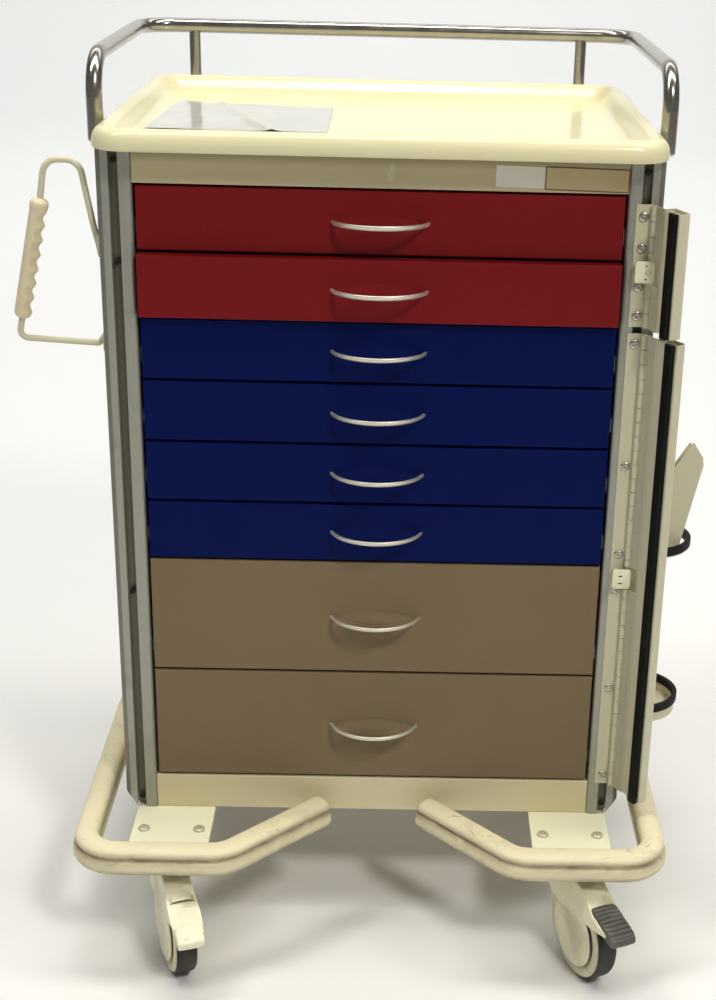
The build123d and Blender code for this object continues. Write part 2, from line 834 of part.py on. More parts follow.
for name, spot in casters.items():
    place = Pos(spot["x"], front_y + spot["y"], 0) * Rot(0, 0, spot["turn"])
    mounts.append(Pos(spot["x"], front_y + spot["y"], 0) * mount.part)
    save(group([place * fork.part, place * axle.part]), f"caster_fork_{name}")
    save(place * rim_here, f"wheel_{name}")
    save(place * tyre_here, f"tyre_{name}")
    if name.startswith("front"):
        pressed = pedal_travel if name == "front_left" else 0.0
        pivot = Axis((pedal_pivot[0], 0, pedal_pivot[1]), (0, 1, 0))
        save(place * pedal.part.rotate(pivot, pressed), f"lock_pedal_{name}")
save(group(mounts), "caster_mounts")

# ---- side handle --------------------------------------------------------------------------------
handle_plane_y = front_y + handle_y
grip_top = (-387.0, 952.0)
grip_foot = (-416.5, 812.0)
handle_outline = [
    (-half_frame, 897.0),
    (-327.0, 924.0),
    (-341.0, 996.0),
    (-380.0, 996.0),
    grip_top,
    grip_foot,
    (-421.5, 788.0),
    (-half_frame, 782.0),
]
with BuildPart() as handle:
    with BuildLine() as handle_path:
        FilletPolyline(*[(x, handle_plane_y, z) for x, z in handle_outline], radius=(18, 18, 18, 10, 10, 8))
    start = handle_path.line @ 0
    with BuildSketch(Plane(origin=start, z_dir=handle_path.line % 0)):
        Circle(handle_radius)
    sweep()
    # clamp feet on the post, with a round thumb knob on the lower one
    for height in (902.0, 782.0):
        with BuildSketch(Plane.YZ.offset(-half_frame)):
            with Locations((handle_plane_y, height)):
                RectangleRounded(18, 26, 4)
        extrude(amount=-3.5)
    split(bisect_by=Plane.YZ.offset(-half_frame), keep=Keep.BOTTOM)
save(handle.part, "side_handle_bar")

grip_axis = Vector(grip_foot[0] - grip_top[0], 0, grip_foot[1] - grip_top[1])
grip_span = grip_axis.length
grip_plane = Plane(
    origin=(grip_top[0], handle_plane_y, grip_top[1]), x_dir=(0, 1, 0), z_dir=grip_axis.normalized()
)
with BuildPart() as grip:
    with BuildSketch(grip_plane.offset(1.0)):
        Circle(grip_radius)
    extrude(amount=grip_span - 6.0)
    fillet(grip.edges(), radius=3.0)
    # finger grooves along the side that faces the cart
    inward = grip_plane.y_dir if grip_plane.y_dir.X > 0 else -grip_plane.y_dir
    for step in range(7):
        along = 14.0 + step * (grip_span - 34.0) / 6
        middle = grip_plane.origin + grip_axis.normalized() * along + inward * (grip_radius + 5.0)
        with BuildSketch(Plane(origin=middle, x_dir=inward, z_dir=(0, 1, 0))):
            Circle(8.0)
        extrude(amount=grip_radius + 2, both=True, mode=Mode.SUBTRACT)
    with BuildSketch(grip_plane.offset(-5.0)):
        Circle(handle_radius + 0.02)
    extrude(amount=grip_span + 12.0, mode=Mode.SUBTRACT)
save(grip.part, "side_handle_grip")

# ---- cylinder holder ----------------------------------------------------------------------------
holder_y = front_y + hoop_y
hoop_inner = (hoop_radius - 3.0, hoop_radius - 5.0)
hoop_at = Pos(hoop_x, holder_y, 0)
strap = block((panel_x, panel_x + 3.0), (holder_y - 30.0, holder_y + 30.0), (cup_bottom, hoop_height + 22.0))
band = hoop_at * ring(Plane.XY.offset(hoop_height - 6.0), *hoop_inner, 12.0)
cup_wall = hoop_at * ring(Plane.XY.offset(cup_bottom), *hoop_inner, cup_top - cup_bottom)
cup_floor = hoop_at * Pos(0, 0, cup_bottom) * Cylinder(
    hoop_radius - 4.0, 2.0, align=(Align.CENTER, Align.CENTER, Align.MIN)
)
tongue_x = (panel_x, hoop_x - hoop_radius + 4.5)
tongue_y = (holder_y - 12.0, holder_y + 12.0)
tongues = [
    block(tongue_x, tongue_y, (hoop_height - 6.0, hoop_height + 6.0)),
    block(tongue_x, tongue_y, (cup_bottom, cup_top)),
]
arm_plane = Plane.XZ.offset(30.0 - holder_y)
with BuildPart() as arm:
    # a folded arm that leans outwards: two blades with pointed tops, joined by an inner web and a foot
    for blade, drop in ((0.0, 0.0), (arm_gap - arm_thick, 9.0)):
        with BuildSketch(arm_plane.offset(-blade)):
            with BuildLine():
                Polyline(
                    (370.0, 442.0),
                    (408.0, 442.0),
                    (434.5, 574.0 - drop),
                    (433.0, 585.0 - drop),
                    (419.0, 607.0 - drop),
                    (398.5, 574.0 - drop),
                    close=True,
                )
            make_face()
        extrude(amount=-arm_thick)
    with BuildSketch(arm_plane):
        with BuildLine():
            Polyline((370.0, 442.0), (372.5, 442.0), (399.5, 566.0), (397.0, 566.0), close=True)
        make_face()
        with Locations(((panel_x + 408.0) / 2, 443.0)):
            Rectangle(408.0 - panel_x, arm_thick)
    extrude(amount=-arm_gap)
holder = strap + band + cup_wall + cup_floor + tongues[0] + tongues[1] + arm.part
save(holder, "cylinder_holder")

trims = []
for top in (hoop_height + 6.0, cup_top):
    edging = hoop_at * ring(Plane.XY.offset(top - 9.0), hoop_radius, hoop_radius - 6.5, 11.0)
    room = hoop_at * ring(Plane.XY.offset(top - 10.0), *hoop_inner, 10.0)
    gap_x = (panel_x - 5.0, hoop_x - hoop_radius + 9.0)
    gap = block(gap_x, (holder_y - 32.0, holder_y + 32.0), (top - 20.0, top + 20.0))
    trims.append(edging - room - gap)
save(group(trims), "hoop_trims")

# ---- screws -------------------------------------------------------------------------------------


def pan_head(plane, radius, height):
    """A pan-head screw's head with a cross recess, standing on a plane."""
    with BuildPart() as made:
        with BuildSketch(plane):
            Circle(radius)
        extrude(amount=height)
        fillet(made.faces().sort_by(plane_axis(plane))[-1].edges(), radius=height * 0.6)
        with BuildSketch(plane.offset(height)):
            Rectangle(radius * 1.1, radius * 0.28)
            Rectangle(radius * 0.28, radius * 1.1)
        extrude(amount=-height * 0.45, mode=Mode.SUBTRACT)
    return made.part


def plane_axis(plane):
    """The axis that a plane faces along."""
    return Axis(plane.origin, plane.z_dir)


screws = []
for side in (-1, 1):
    for x in (plate_x - 35.0, plate_x + 35.0):
        spot = Location((side * x, front_y - 54.0, 0))
        screws.append(pan_head(Plane.XY.offset(cabinet_bottom).move(spot), bolt_radius, bolt_height))
for door in (upper_door, lower_door):
    for height in door["screws"]:
        head_plane = Plane(origin=(post_x - 2.0, post_front_y - leaf_thick, height), z_dir=(0, -1, 0))
        screws.append(pan_head(head_plane, screw_radius, screw_height))
for height in (250.0, 422.0):
    head_plane = Plane(origin=(panel_x + 3.0, holder_y, height), z_dir=(1, 0, 0))
    screws.append(pan_head(head_plane, screw_radius, screw_height))
save(group(screws), "screws")
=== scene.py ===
"""Looks for the medication cart: materials, moulded trim, pulls, casters and small fittings.

Metres, except where a name or docstring says millimetres. +Z is up, the floor is Z = 0 and the
drawers face -Y.
"""

import math

import bmesh
import bpy
from mathutils import Matrix, Vector


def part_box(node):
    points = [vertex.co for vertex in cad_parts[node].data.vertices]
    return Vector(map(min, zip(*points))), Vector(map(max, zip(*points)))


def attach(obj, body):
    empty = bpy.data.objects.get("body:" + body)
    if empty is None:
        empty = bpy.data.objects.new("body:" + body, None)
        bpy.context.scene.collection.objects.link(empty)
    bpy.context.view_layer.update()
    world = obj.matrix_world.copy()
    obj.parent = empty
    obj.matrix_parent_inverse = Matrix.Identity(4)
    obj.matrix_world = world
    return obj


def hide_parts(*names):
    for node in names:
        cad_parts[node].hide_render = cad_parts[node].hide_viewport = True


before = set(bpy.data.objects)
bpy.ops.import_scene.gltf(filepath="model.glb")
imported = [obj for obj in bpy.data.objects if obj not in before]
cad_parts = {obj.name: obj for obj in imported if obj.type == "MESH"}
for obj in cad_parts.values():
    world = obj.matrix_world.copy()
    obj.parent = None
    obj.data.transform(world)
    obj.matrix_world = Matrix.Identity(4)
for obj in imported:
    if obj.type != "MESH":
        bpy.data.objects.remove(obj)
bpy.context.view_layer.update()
MM = 0.001
scene = bpy.context.scene

# where the posts' slots and outer edges are darkened, as painted shade with some dirt in the slots;
# X counts from the middle to either side
SLOT_X = (0.2942, 0.3058)
SLOT_Y = (-0.1424, -0.12)
SIDE_SLOT_X = (0.3, 0.3194)
SIDE_SLOT_Y = (-0.1288, -0.1172)
POST_EDGE_SHADE_X = (0.3138, 0.33)

# lock doors, in millimetres: the hinge axis, how many degrees each door stands open, the screws on
# the fixed leaf and the lock plates
HINGE = (309.0, -149.0)
DOOR_TURNS = {"upper": 112.0, "lower": 124.0}
LEAF_FACE_Y = -144.5
LEAF_SCREW_X = 298.0
LEAF_SCREW_HEIGHTS = (951.0, 915.0, 870.0, 836.0, 802.0, 650.0, 535.0, 488.0, 350.0, 223.5)
LOCK_FACE_Y = -154.7
LOCK_HEIGHTS = (889.5, 506.0)


# ---- node helpers -------------------------------------------------------------------------------
class Shade:
    """One procedural material: a Principled shader and its textures, in object space."""

    def __init__(self, name):
        self.material = bpy.data.materials.new(name)
        self.material.use_nodes = True
        self.tree = self.material.node_tree
        self.tree.nodes.clear()
        output = self.add("OutputMaterial")
        self.shader = self.add("BsdfPrincipled")
        self.join(self.shader.outputs[0], output.inputs["Surface"])
        self.space = self.add("TexCoord").outputs["Object"]
        self.normal = None

    def add(self, kind):
        return self.tree.nodes.new("ShaderNode" + kind)

    def join(self, source, socket):
        self.tree.links.new(source, socket)

    def noise(self, size, detail=4.0, stretch=(1.0, 1.0, 1.0), warp=0.0):
        """Noise whose blobs are about size metres across, squeezed along each axis by stretch."""
        place = self.add("Mapping")
        place.inputs["Scale"].default_value = stretch
        self.join(self.space, place.inputs["Vector"])
        node = self.add("TexNoise")
        node.inputs["Scale"].default_value = 0.5 / size
        node.inputs["Detail"].default_value = detail
        node.inputs["Roughness"].default_value = 0.55
        node.inputs["Distortion"].default_value = warp
        self.join(place.outputs[0], node.inputs["Vector"])
        return node.outputs["Fac"]

    def remap(self, value, low, high, to_low=0.0, to_high=1.0):
        """Carries the range low to high onto the range to_low to to_high, and holds it there."""
        node = self.add("MapRange")
        node.inputs["From Min"].default_value = low
        node.inputs["From Max"].default_value = high
        node.inputs["To Min"].default_value = to_low
        node.inputs["To Max"].default_value = to_high
        self.join(value, node.inputs["Value"])
        return node.outputs[0]

    def along(self, axis):
        """The coordinate along the named axis."""
        node = self.add("SeparateXYZ")
        self.join(self.space, node.inputs[0])
        return node.outputs[axis]

    def height(self, low, high):
        """0 below the height low and 1 above high."""
        return self.remap(self.along("Z"), low, high)

    def within(self, axis, low, high, mirrored=False):
        """1 where the coordinate, or its size if mirrored, is between low and high, else 0."""
        value = self.along(axis)
        if mirrored:
            size = self.add("Math")
            size.operation = "ABSOLUTE"
            self.join(value, size.inputs[0])
            value = size.outputs[0]
        edge = 0.0004
        above = self.remap(value, low - edge, low + edge)
        below = self.remap(value, high - edge, high + edge, 1.0, 0.0)
        return self.times(above, below)

    def around(self, centre, reach):
        """Distance from a centre as a share of the reach along each axis."""
        node = self.add("Mapping")
        node.inputs["Location"].default_value = [-c / r for c, r in zip(centre, reach)]
        node.inputs["Scale"].default_value = [1 / r for r in reach]
        self.join(self.space, node.inputs["Vector"])
        length = self.add("VectorMath")
        length.operation = "LENGTH"
        self.join(node.outputs[0], length.inputs[0])
        return length.outputs["Value"]

    def times(self, a, b):
        node = self.add("Math")
        node.operation = "MULTIPLY"
        for value, socket in ((a, node.inputs[0]), (b, node.inputs[1])):
            if isinstance(value, float):
                socket.default_value = value
            else:
                self.join(value, socket)
        return node.outputs[0]

    def blend(self, share, under, over):
        """Colour over laid on colour under by share."""
        node = self.add("Mix")
        node.data_type = "RGBA"
        self.join(share, node.inputs["Factor"])
        for value, socket in ((under, node.inputs[6]), (over, node.inputs[7])):
            if isinstance(value, tuple):
                socket.default_value = (*value, 1.0)
            else:
                self.join(value, socket)
        return node.outputs[2]

    def bump(self, value, depth, strength=1.0):
        """Raises the surface by the texture; several bumps add up."""
        node = self.add("Bump")
        node.inputs["Strength"].default_value = strength
        node.inputs["Distance"].default_value = depth
        self.join(value, node.inputs["Height"])
        if self.normal is not None:
            self.join(self.normal, node.inputs["Normal"])
        self.normal = node.outputs[0]

    def finish(self, colour, rough, **constants):
        """Joins colour and roughness to the shader and sets its other sockets by name."""
        self.join(colour, self.shader.inputs["Base Color"])
        self.join(rough, self.shader.inputs["Roughness"])
        if self.normal is not None:
            self.join(self.normal, self.shader.inputs["Normal"])
        for socket, value in constants.items():
            self.shader.inputs[socket.replace("_", " ")].default_value = value
        return self.material


def tint(colour, factor):
    return tuple(channel * factor for channel in colour)


def moulded(
    name, colour, rough=(0.25, 0.4), grime=(0.3, 0.25, 0.17), soil=0.12, coat=0.3, grain=0.00003,
    scuff=0.0, bands=(), ripple=0.0002, mottle=0.06, lustre=0.5,
):
    """Moulded plastic: mottled, soiled in patches, with a fine grain and dark scuffs.

    Each of the bands is (low, middle, high, share): a grime-coloured darkening that is thickest at
    one height; on the bumper it is dirt, on the fork it is painted shade.
    """
    s = Shade(name)
    tone = s.noise(0.09, 3.0)
    paint = s.blend(tone, tint(colour, 1 - mottle), tint(colour, 1 + mottle * 0.7))
    patches = s.remap(s.noise(0.03, 6.0, warp=0.6), 0.52, 0.78, 0.0, soil)
    paint = s.blend(patches, paint, grime)
    for low, middle, high, share in bands:
        falling = s.remap(s.height(middle, high), 0.0, 1.0, 1.0, 0.0)
        inside = s.times(s.height(low, middle), falling)
        band_breakup = s.remap(s.noise(0.02, 5.0, stretch=(1.0, 1.0, 3.0), warp=0.5), 0.3, 0.6, 0.35, 1.0)
        paint = s.blend(s.times(s.times(inside, band_breakup), share), paint, grime)
    if scuff > 0:
        lines = s.remap(s.noise(0.006, 5.0, stretch=(1.0, 1.0, 6.0), warp=1.2), 0.6, 0.72)
        where = s.remap(s.noise(0.05, 2.0), 0.45, 0.62)
        paint = s.blend(s.times(s.times(lines, where), scuff), paint, (0.16, 0.14, 0.12))
    polish = s.remap(s.noise(0.02, 5.0), 0.3, 0.7, *rough)
    s.bump(s.noise(0.0012, 2.0), grain)
    s.bump(s.noise(0.03, 2.0), ripple, 0.5)
    return s.finish(
        paint, polish, Coat_Weight=coat, Coat_Roughness=0.12, Specular_IOR_Level=lustre
    )


def painted(
    name, colour, light=1.25, rough=(0.35, 0.5), speckle=0.35, gloss=0.12,
    dusk=None, fold=None, grip=None,
):
    """Powder-coated sheet: finely pebbled, with paler flecks, rubbed patches and faint streaks.

    dusk is (low, high, share): painted shade that deepens from the height low up to high. fold
    is the same between two values of X, painted shade inside a door's channel. grip is
    (height, share): a painted shadow under a pull.
    """
    s = Shade(name)
    tone = s.noise(0.12, 3.0)
    paint = s.blend(tone, tint(colour, 0.9), tint(colour, 1.08))
    flecks = s.remap(s.noise(0.0011, 2.0), 0.5, 0.75, 0.0, speckle)
    paint = s.blend(flecks, paint, tint(colour, light))
    # painted shade: darker towards the top, where something above overhangs
    if dusk:
        low, high, share = dusk
        paint = s.blend(s.times(s.height(low, high), share), paint, tint(colour, 0.45))
    # painted shade: a darker strip between two values of X
    if fold:
        low, high, share = fold
        paint = s.blend(s.times(s.within("X", low, high), share), paint, tint(colour, 0.42))
    # painted shadow: a darker patch below a drawer pull
    if grip:
        height, share = grip
        distance = s.around((-0.008, 0.0, height - 0.024), (0.054, 1.0, 0.022))
        pull_shadow = s.remap(distance, 0.5, 1.0, 1.0, 0.0)
        paint = s.blend(s.times(pull_shadow, share), paint, tint(colour, 0.45))
    rubbed = s.noise(0.05, 5.0, stretch=(2.5, 1.0, 0.6), warp=0.4)
    polish = s.remap(rubbed, 0.3, 0.7, *rough)
    s.bump(s.noise(0.0014, 2.0), 0.00006)
    s.bump(s.noise(0.06, 2.0), 0.0006, 0.4)
    return s.finish(paint, polish, Specular_IOR_Level=gloss)


def metal(name, colour, rough, brush=None, stain=0.2, size=0.0008, metallic=1.0, slots=False):
    """Bare or plated metal with dull spots, brushed along one axis if brush says which.

    slots darkens the posts' slots with painted shade and some dirt, and their outer edges with
    painted shade.
    """
    s = Shade(name)
    stretch = tuple(0.02 if axis == brush else 1.0 for axis in range(3))
    lines = s.noise(size, 4.0, stretch=stretch)
    spots = s.remap(s.noise(0.015, 6.0, warp=0.5), 0.55, 0.8, 0.0, stain)
    finish = s.blend(lines, tint(colour, 0.86), tint(colour, 1.08))
    finish = s.blend(spots, finish, tint(colour, 0.45))
    if slots:
        # painted shade along the posts' rounded outer edges
        edge = s.within("X", *POST_EDGE_SHADE_X, mirrored=True)
        finish = s.blend(s.times(edge, 0.65), finish, (0.12, 0.12, 0.1))
        # painted shade with some dirt inside the front and side slots
        front = s.times(s.within("X", *SLOT_X, mirrored=True), s.within("Y", *SLOT_Y))
        side = s.times(s.within("Y", *SIDE_SLOT_Y), s.within("X", *SIDE_SLOT_X, mirrored=True))
        for slot in (front, side):
            finish = s.blend(s.times(slot, 0.8), finish, (0.1, 0.085, 0.055))
    polish = s.remap(lines, 0.3, 0.7, *rough)
    s.bump(lines, 0.00001)
    return s.finish(finish, polish, Metallic=metallic)


# ---- materials ----------------------------------------------------------------------------------
IVORY = (0.75, 0.7, 0.44)
CREAM = (0.80, 0.70, 0.44)
SHEET_CREAM = (0.62, 0.59, 0.43)
RED = (0.19, 0.0078, 0.0105)
BLUE = (0.0012, 0.007, 0.078)
TAUPE = (0.215, 0.158, 0.092)

looks = {
    "tray": moulded(
        "tray_gloss", IVORY, rough=(0.16, 0.22), soil=0.03, coat=0.15, grain=0.000008,
        ripple=0.00003, mottle=0.03, lustre=0.35,
    ),
    "trim": painted("trim_cream", CREAM, light=1.05, speckle=0.15),
    "base": painted(
        "base_cream", (0.7, 0.63, 0.4), light=1.05, rough=(0.3, 0.45), speckle=0.12, gloss=0.3
    ),
    "plate": painted("plate_cream", (0.86, 0.84, 0.62), light=1.05, speckle=0.12, gloss=0.25),
    # painted shade inside each door's channel, between the fold and the flange
    "door": painted(
        "door_cream", SHEET_CREAM, light=1.06, speckle=0.12, gloss=0.25, fold=(0.3105, 0.3198, 0.4)
    ),
    "leaf": painted("leaf_cream", SHEET_CREAM, light=1.06, speckle=0.12, gloss=0.25),
    # the base panel's cream darkened as painted shade under the tray's overhang; dusk adds a deeper
    # painted shadow band under the tray's lip
    "header": painted(
        "header_tan", (0.6, 0.53, 0.335), light=1.08, speckle=0.15, dusk=(0.998, 1.008, 0.7)
    ),
    "panel": painted("panel_grey", (0.6, 0.54, 0.4), light=1.06, speckle=0.2),
    "steel": painted("drawer_steel", (0.62, 0.6, 0.53), light=1.05, speckle=0.1),
    # the posts' slots and outer edges get painted shade, the slots also some dirt
    "post": metal(
        "post_aluminium", (0.39, 0.39, 0.34), (0.4, 0.55), brush=2, stain=0.4, metallic=0.6,
        slots=True,
    ),
    "nickel": metal(
        "pull_nickel", (0.8, 0.76, 0.67), (0.36, 0.46), brush=0, stain=0.1, size=0.0005,
        metallic=0.75,
    ),
    "chrome": metal("rail_chrome", (0.43, 0.41, 0.37), (0.16, 0.26), stain=0.3, size=0.01),
    "zinc": metal("steel_zinc", (0.6, 0.6, 0.6), (0.25, 0.45), stain=0.3, size=0.002),
    "screw": metal("screw_zinc", (0.55, 0.53, 0.47), (0.25, 0.4), stain=0.3, size=0.001),
    "bolt": metal(
        "bolt_painted", (0.62, 0.6, 0.45), (0.3, 0.45), stain=0.4, size=0.001, metallic=0.3
    ),
    "dark_screw": metal("screw_dark", (0.05, 0.05, 0.045), (0.4, 0.6), stain=0.3, size=0.001),
    "bumper": moulded(
        "bumper_cream", (0.79, 0.72, 0.48), rough=(0.4, 0.6), grime=(0.2, 0.14, 0.07), soil=0.3,
        coat=0.0, grain=0.00006, scuff=0.9,
        bands=((0.169, 0.1765, 0.187, 0.85), (0.153, 0.158, 0.165, 0.75)),
    ),
    "fork": moulded(
        "fork_cream", (0.88, 0.83, 0.6), rough=(0.3, 0.5), grime=(0.25, 0.2, 0.12), soil=0.5,
        # painted shade: the bumper's shadow on the top of the hood, near its neck
        scuff=0.6, bands=((0.131, 0.139, 0.15, 0.75),),
    ),
    "wheel": moulded(
        "wheel_grey", (0.7, 0.66, 0.48), rough=(0.4, 0.6), grime=(0.2, 0.17, 0.1), soil=0.85,
        coat=0.0, scuff=0.6,
    ),
    "tyre": moulded(
        "tyre_black", (0.018, 0.014, 0.009), rough=(0.5, 0.75), grime=(0.12, 0.1, 0.07), soil=0.4,
        coat=0.0,
    ),
    "pedal": moulded(
        "pedal_grey", (0.085, 0.08, 0.072), rough=(0.4, 0.6), grime=(0.3, 0.28, 0.24), soil=0.35,
        coat=0.0,
    ),
    "worn_pedal": moulded(
        "pedal_worn", (0.9, 0.85, 0.62), rough=(0.35, 0.55), grime=(0.3, 0.24, 0.14), soil=0.6,
        scuff=0.9,
    ),
    "grip": moulded("grip_cream", (0.72, 0.64, 0.43), rough=(0.35, 0.5), soil=0.25, coat=0.1),
    "strip": moulded(
        "strip_black", (0.005, 0.0045, 0.004), rough=(0.45, 0.65), grime=(0.03, 0.03, 0.03),
        soil=0.3, coat=0.0, lustre=0.15,
    ),
    "label": painted("label_tan", (0.6, 0.49, 0.28), light=1.05, speckle=0.1),
    "label_edge": painted("label_edge", (0.2, 0.13, 0.06), light=1.1, speckle=0.1),
    "paper": painted("paper_white", (0.82, 0.8, 0.72), light=1.03, speckle=0.1, gloss=0.3),
    "tape": painted("tape_pale", (0.66, 0.6, 0.42), light=1.05, speckle=0.1, gloss=0.4),
    "clear": moulded(
        "clear_plastic", (0.5, 0.5, 0.46), rough=(0.08, 0.16), grime=(0.7, 0.7, 0.68), soil=0.5,
        coat=0.1, lustre=0.4,
    ),
}

wears = {
    "top_tray": "tray",
    "cabinet_panels": "panel",
    "base_deck": "panel",
    "header_panel": "header",
    "base_panel": "base",
    "lock_door_upper": "door",
    "lock_door_lower": "door",
    "corner_posts": "post",
    "runner_channels": "zinc",
    "guard_rail": "chrome",
    "hinge_leaves": "leaf",
    "corner_plates": "plate",
    "bumper_rails": "bumper",
    "caster_mounts": "zinc",
    "side_handle_bar": "trim",
    "side_handle_grip": "grip",
    "cylinder_holder": "leaf",
    "hoop_trims": "strip",
    "lock_strip_upper": "strip",
    "lock_strip_lower": "strip",
    "screws": "zinc",
    "lock_pedal_front_left": "fork",
    "lock_pedal_front_right": "pedal",
}
for corner in ("front_left", "front_right", "rear_left", "rear_right"):
    wears[f"caster_fork_{corner}"] = "fork"
    wears[f"wheel_{corner}"] = "wheel"
    wears[f"tyre_{corner}"] = "tyre"


def pull_height(number):
    """The height of a drawer's pull, half way up its front."""
    low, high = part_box(f"drawer_{number}_front")
    return (low[2] + high[2]) / 2


for number, colour in enumerate([RED] * 2 + [BLUE] * 4 + [TAUPE] * 2, start=1):
    looks[f"front_{number}"] = painted(
        f"front_{number}",
        colour,
        light=1.25 if colour is TAUPE else 1.5,
        gloss=0.06 if colour is BLUE else 0.12,
        # painted shadow below each pull, deeper on the taupe fronts
        grip=(pull_height(number), 0.6 if colour is TAUPE else 0.35),
    )
    wears[f"drawer_{number}_front"] = f"front_{number}"
    wears[f"drawer_{number}_box"] = "steel"
    wears[f"drawer_{number}_pull"] = "nickel"


def dress(piece, look):
    """Gives a piece one of the looks above, whatever materials it came with."""
    piece.data.materials.clear()
    piece.data.materials.append(looks[look])


for node, look in wears.items():
    dress(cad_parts[node], look)


# ---- shaping helpers ----------------------------------------------------------------------------
def spot(x, y, z):
    """A point given in millimetres."""
    return Vector((x, y, z)) * MM


def loft(bm, rings, along=False):
    """Skins closed rings of equally many points and caps them, or joins last to first if along."""
    rows = [[bm.verts.new(point) for point in ring] for ring in rings]
    following = rows[1:] + rows[:1] if along else rows[1:]
    for row, after in zip(rows, following):
        for i in range(len(row)):
            j = (i + 1) % len(row)
            bm.faces.new((row[i], row[j], after[j], after[i]))
    if not along:
        bm.faces.new(rows[0][::-1])
        bm.faces.new(rows[-1])


def placed(rings, place):
    """Rings moved from their own axes to a place in the model."""
    return [[place @ point for point in ring] for ring in rings]


def smooth_loop(points, steps):
    """A closed curve through the points."""
    dense = []
    count = len(points)
    for i in range(count):
        p0, p1, p2, p3 = (Vector(points[(i + k) % count]) for k in (-1, 0, 1, 2))
        for step in range(steps):
            t = step / steps
            curve = 2 * p1 + (p2 - p0) * t + (2 * p0 - 5 * p1 + 4 * p2 - p3) * t * t
            dense.append((curve + (3 * p1 - p0 - 3 * p2 + p3) * t**3) / 2)
    return dense


def rounded_path(corners, radii, step=math.radians(7.5)):
    """A line through the corners with each inner corner rounded to its radius."""
    corners = [Vector(corner) for corner in corners]
    path = [corners[0]]
    for before, corner, after, radius in zip(corners, corners[1:], corners[2:], radii):
        back = (before - corner).normalized()
        on = (after - corner).normalized()
        half = back.angle(on) / 2
        centre = corner + (back + on).normalized() * (radius / math.sin(half))
        start = (corner + back * (radius / math.tan(half)) - centre).normalized()
        end = (corner + on * (radius / math.tan(half)) - centre).normalized()
        count = max(3, round((math.pi - 2 * half) / step))
        path += [centre + start.slerp(end, i / count) * radius for i in range(count + 1)]
    path.append(corners[-1])
    return path


def arc_through(start, middle, end, count):
    """Points on the circle arc through three points."""
    chord = end - start
    rise = middle - (start + end) / 2
    half = chord.length / 2
    radius = (half**2 + rise.length**2) / (2 * rise.length)
    outward = rise.normalized()
    onward = chord.normalized()
    centre = middle - outward * radius
    half_turn = (start - centre).normalized().angle(outward)
    points = []
    for i in range(count + 1):
        turn = half_turn * (2 * i / count - 1)
        points.append(centre + onward * radius * math.sin(turn) + outward * radius * math.cos(turn))
    return points


def sweep(bm, path, section, up=None):
    """Carries a section, a function of the share of the way, along a path; up keeps it level."""
    rings = []
    last = len(path) - 1
    side = None
    for i, point in enumerate(path):
        heading = (path[min(i + 1, last)] - path[max(i - 1, 0)]).normalized()
        if up is not None:
            side = heading.cross(Vector(up)).normalized()
        elif side is None:
            side = heading.orthogonal().normalized()
        else:
            side = (side - heading * side.dot(heading)).normalized()
        rise = side.cross(heading).normalized()
        rings.append([point + side * u + rise * v for u, v in section(i / last)])
    loft(bm, rings)


def oval(wide, high, count=20):
    turns = [2 * math.pi * i / count for i in range(count)]
    return [(wide * math.cos(turn), high * math.sin(turn)) for turn in turns]


def box_loop(half_x, half_y, radius, z=0.0, middle=(0.0, 0.0), steps=8):
    """A level rounded rectangle."""
    ring = []
    for quarter, (sx, sy) in enumerate(((1, 1), (-1, 1), (-1, -1), (1, -1))):
        for i in range(steps + 1):
            turn = math.pi / 2 * (quarter + i / steps)
            x = middle[0] + sx * (half_x - radius) + radius * math.cos(turn)
            y = middle[1] + sy * (half_y - radius) + radius * math.sin(turn)
            ring.append(Vector((x, y, z)))
    return ring


def lathe(bm, profile, place, count):
    """Turns a closed profile of (radius, height) in millimetres round the Z axis of place."""
    rings = []
    for i in range(count):
        turn = 2 * math.pi * i / count
        rings.append([spot(r * math.cos(turn), r * math.sin(turn), h) for r, h in profile])
    loft(bm, placed(rings, place), along=True)


def facing(origin, normal):
    """A place whose Z axis points along the normal and whose Y axis is nearly up."""
    z = Vector(normal).normalized()
    x = Vector((0, 0, 1)).cross(z).normalized()
    turn = Matrix((x, z.cross(x), z)).transposed().to_4x4()
    return Matrix.Translation(origin) @ turn


def piece_from(name, bm, look, body, nodes=(), flat_angle=None):
    """Makes an object of the mesh, dresses it and says what it rides on and replaces."""
    bmesh.ops.recalc_face_normals(bm, faces=bm.faces)
    data = bpy.data.meshes.new(name)
    bm.to_mesh(data)
    bm.free()
    piece = bpy.data.objects.new(name, data)
    scene.collection.objects.link(piece)
    if flat_angle is None:
        data.shade_smooth()
    else:
        data.set_sharp_from_angle(angle=math.radians(flat_angle))
    dress(piece, look)
    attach(piece, body)
    if nodes:
        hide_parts(*nodes)
    return piece


def soften(node, width):
    """Rounds the edges of a CAD part by a width in millimetres, so that they catch the light."""
    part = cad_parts[node]
    weld = part.modifiers.new("weld", "WELD")
    weld.merge_threshold = 0.00002
    bevel = part.modifiers.new("bevel", "BEVEL")
    bevel.width = width * MM
    bevel.segments = 2
    bevel.limit_method = "ANGLE"
    bevel.angle_limit = math.radians(35)
    bevel.use_clamp_overlap = True
    part.modifiers.new("normals", "WEIGHTED_NORMAL").keep_sharp = False


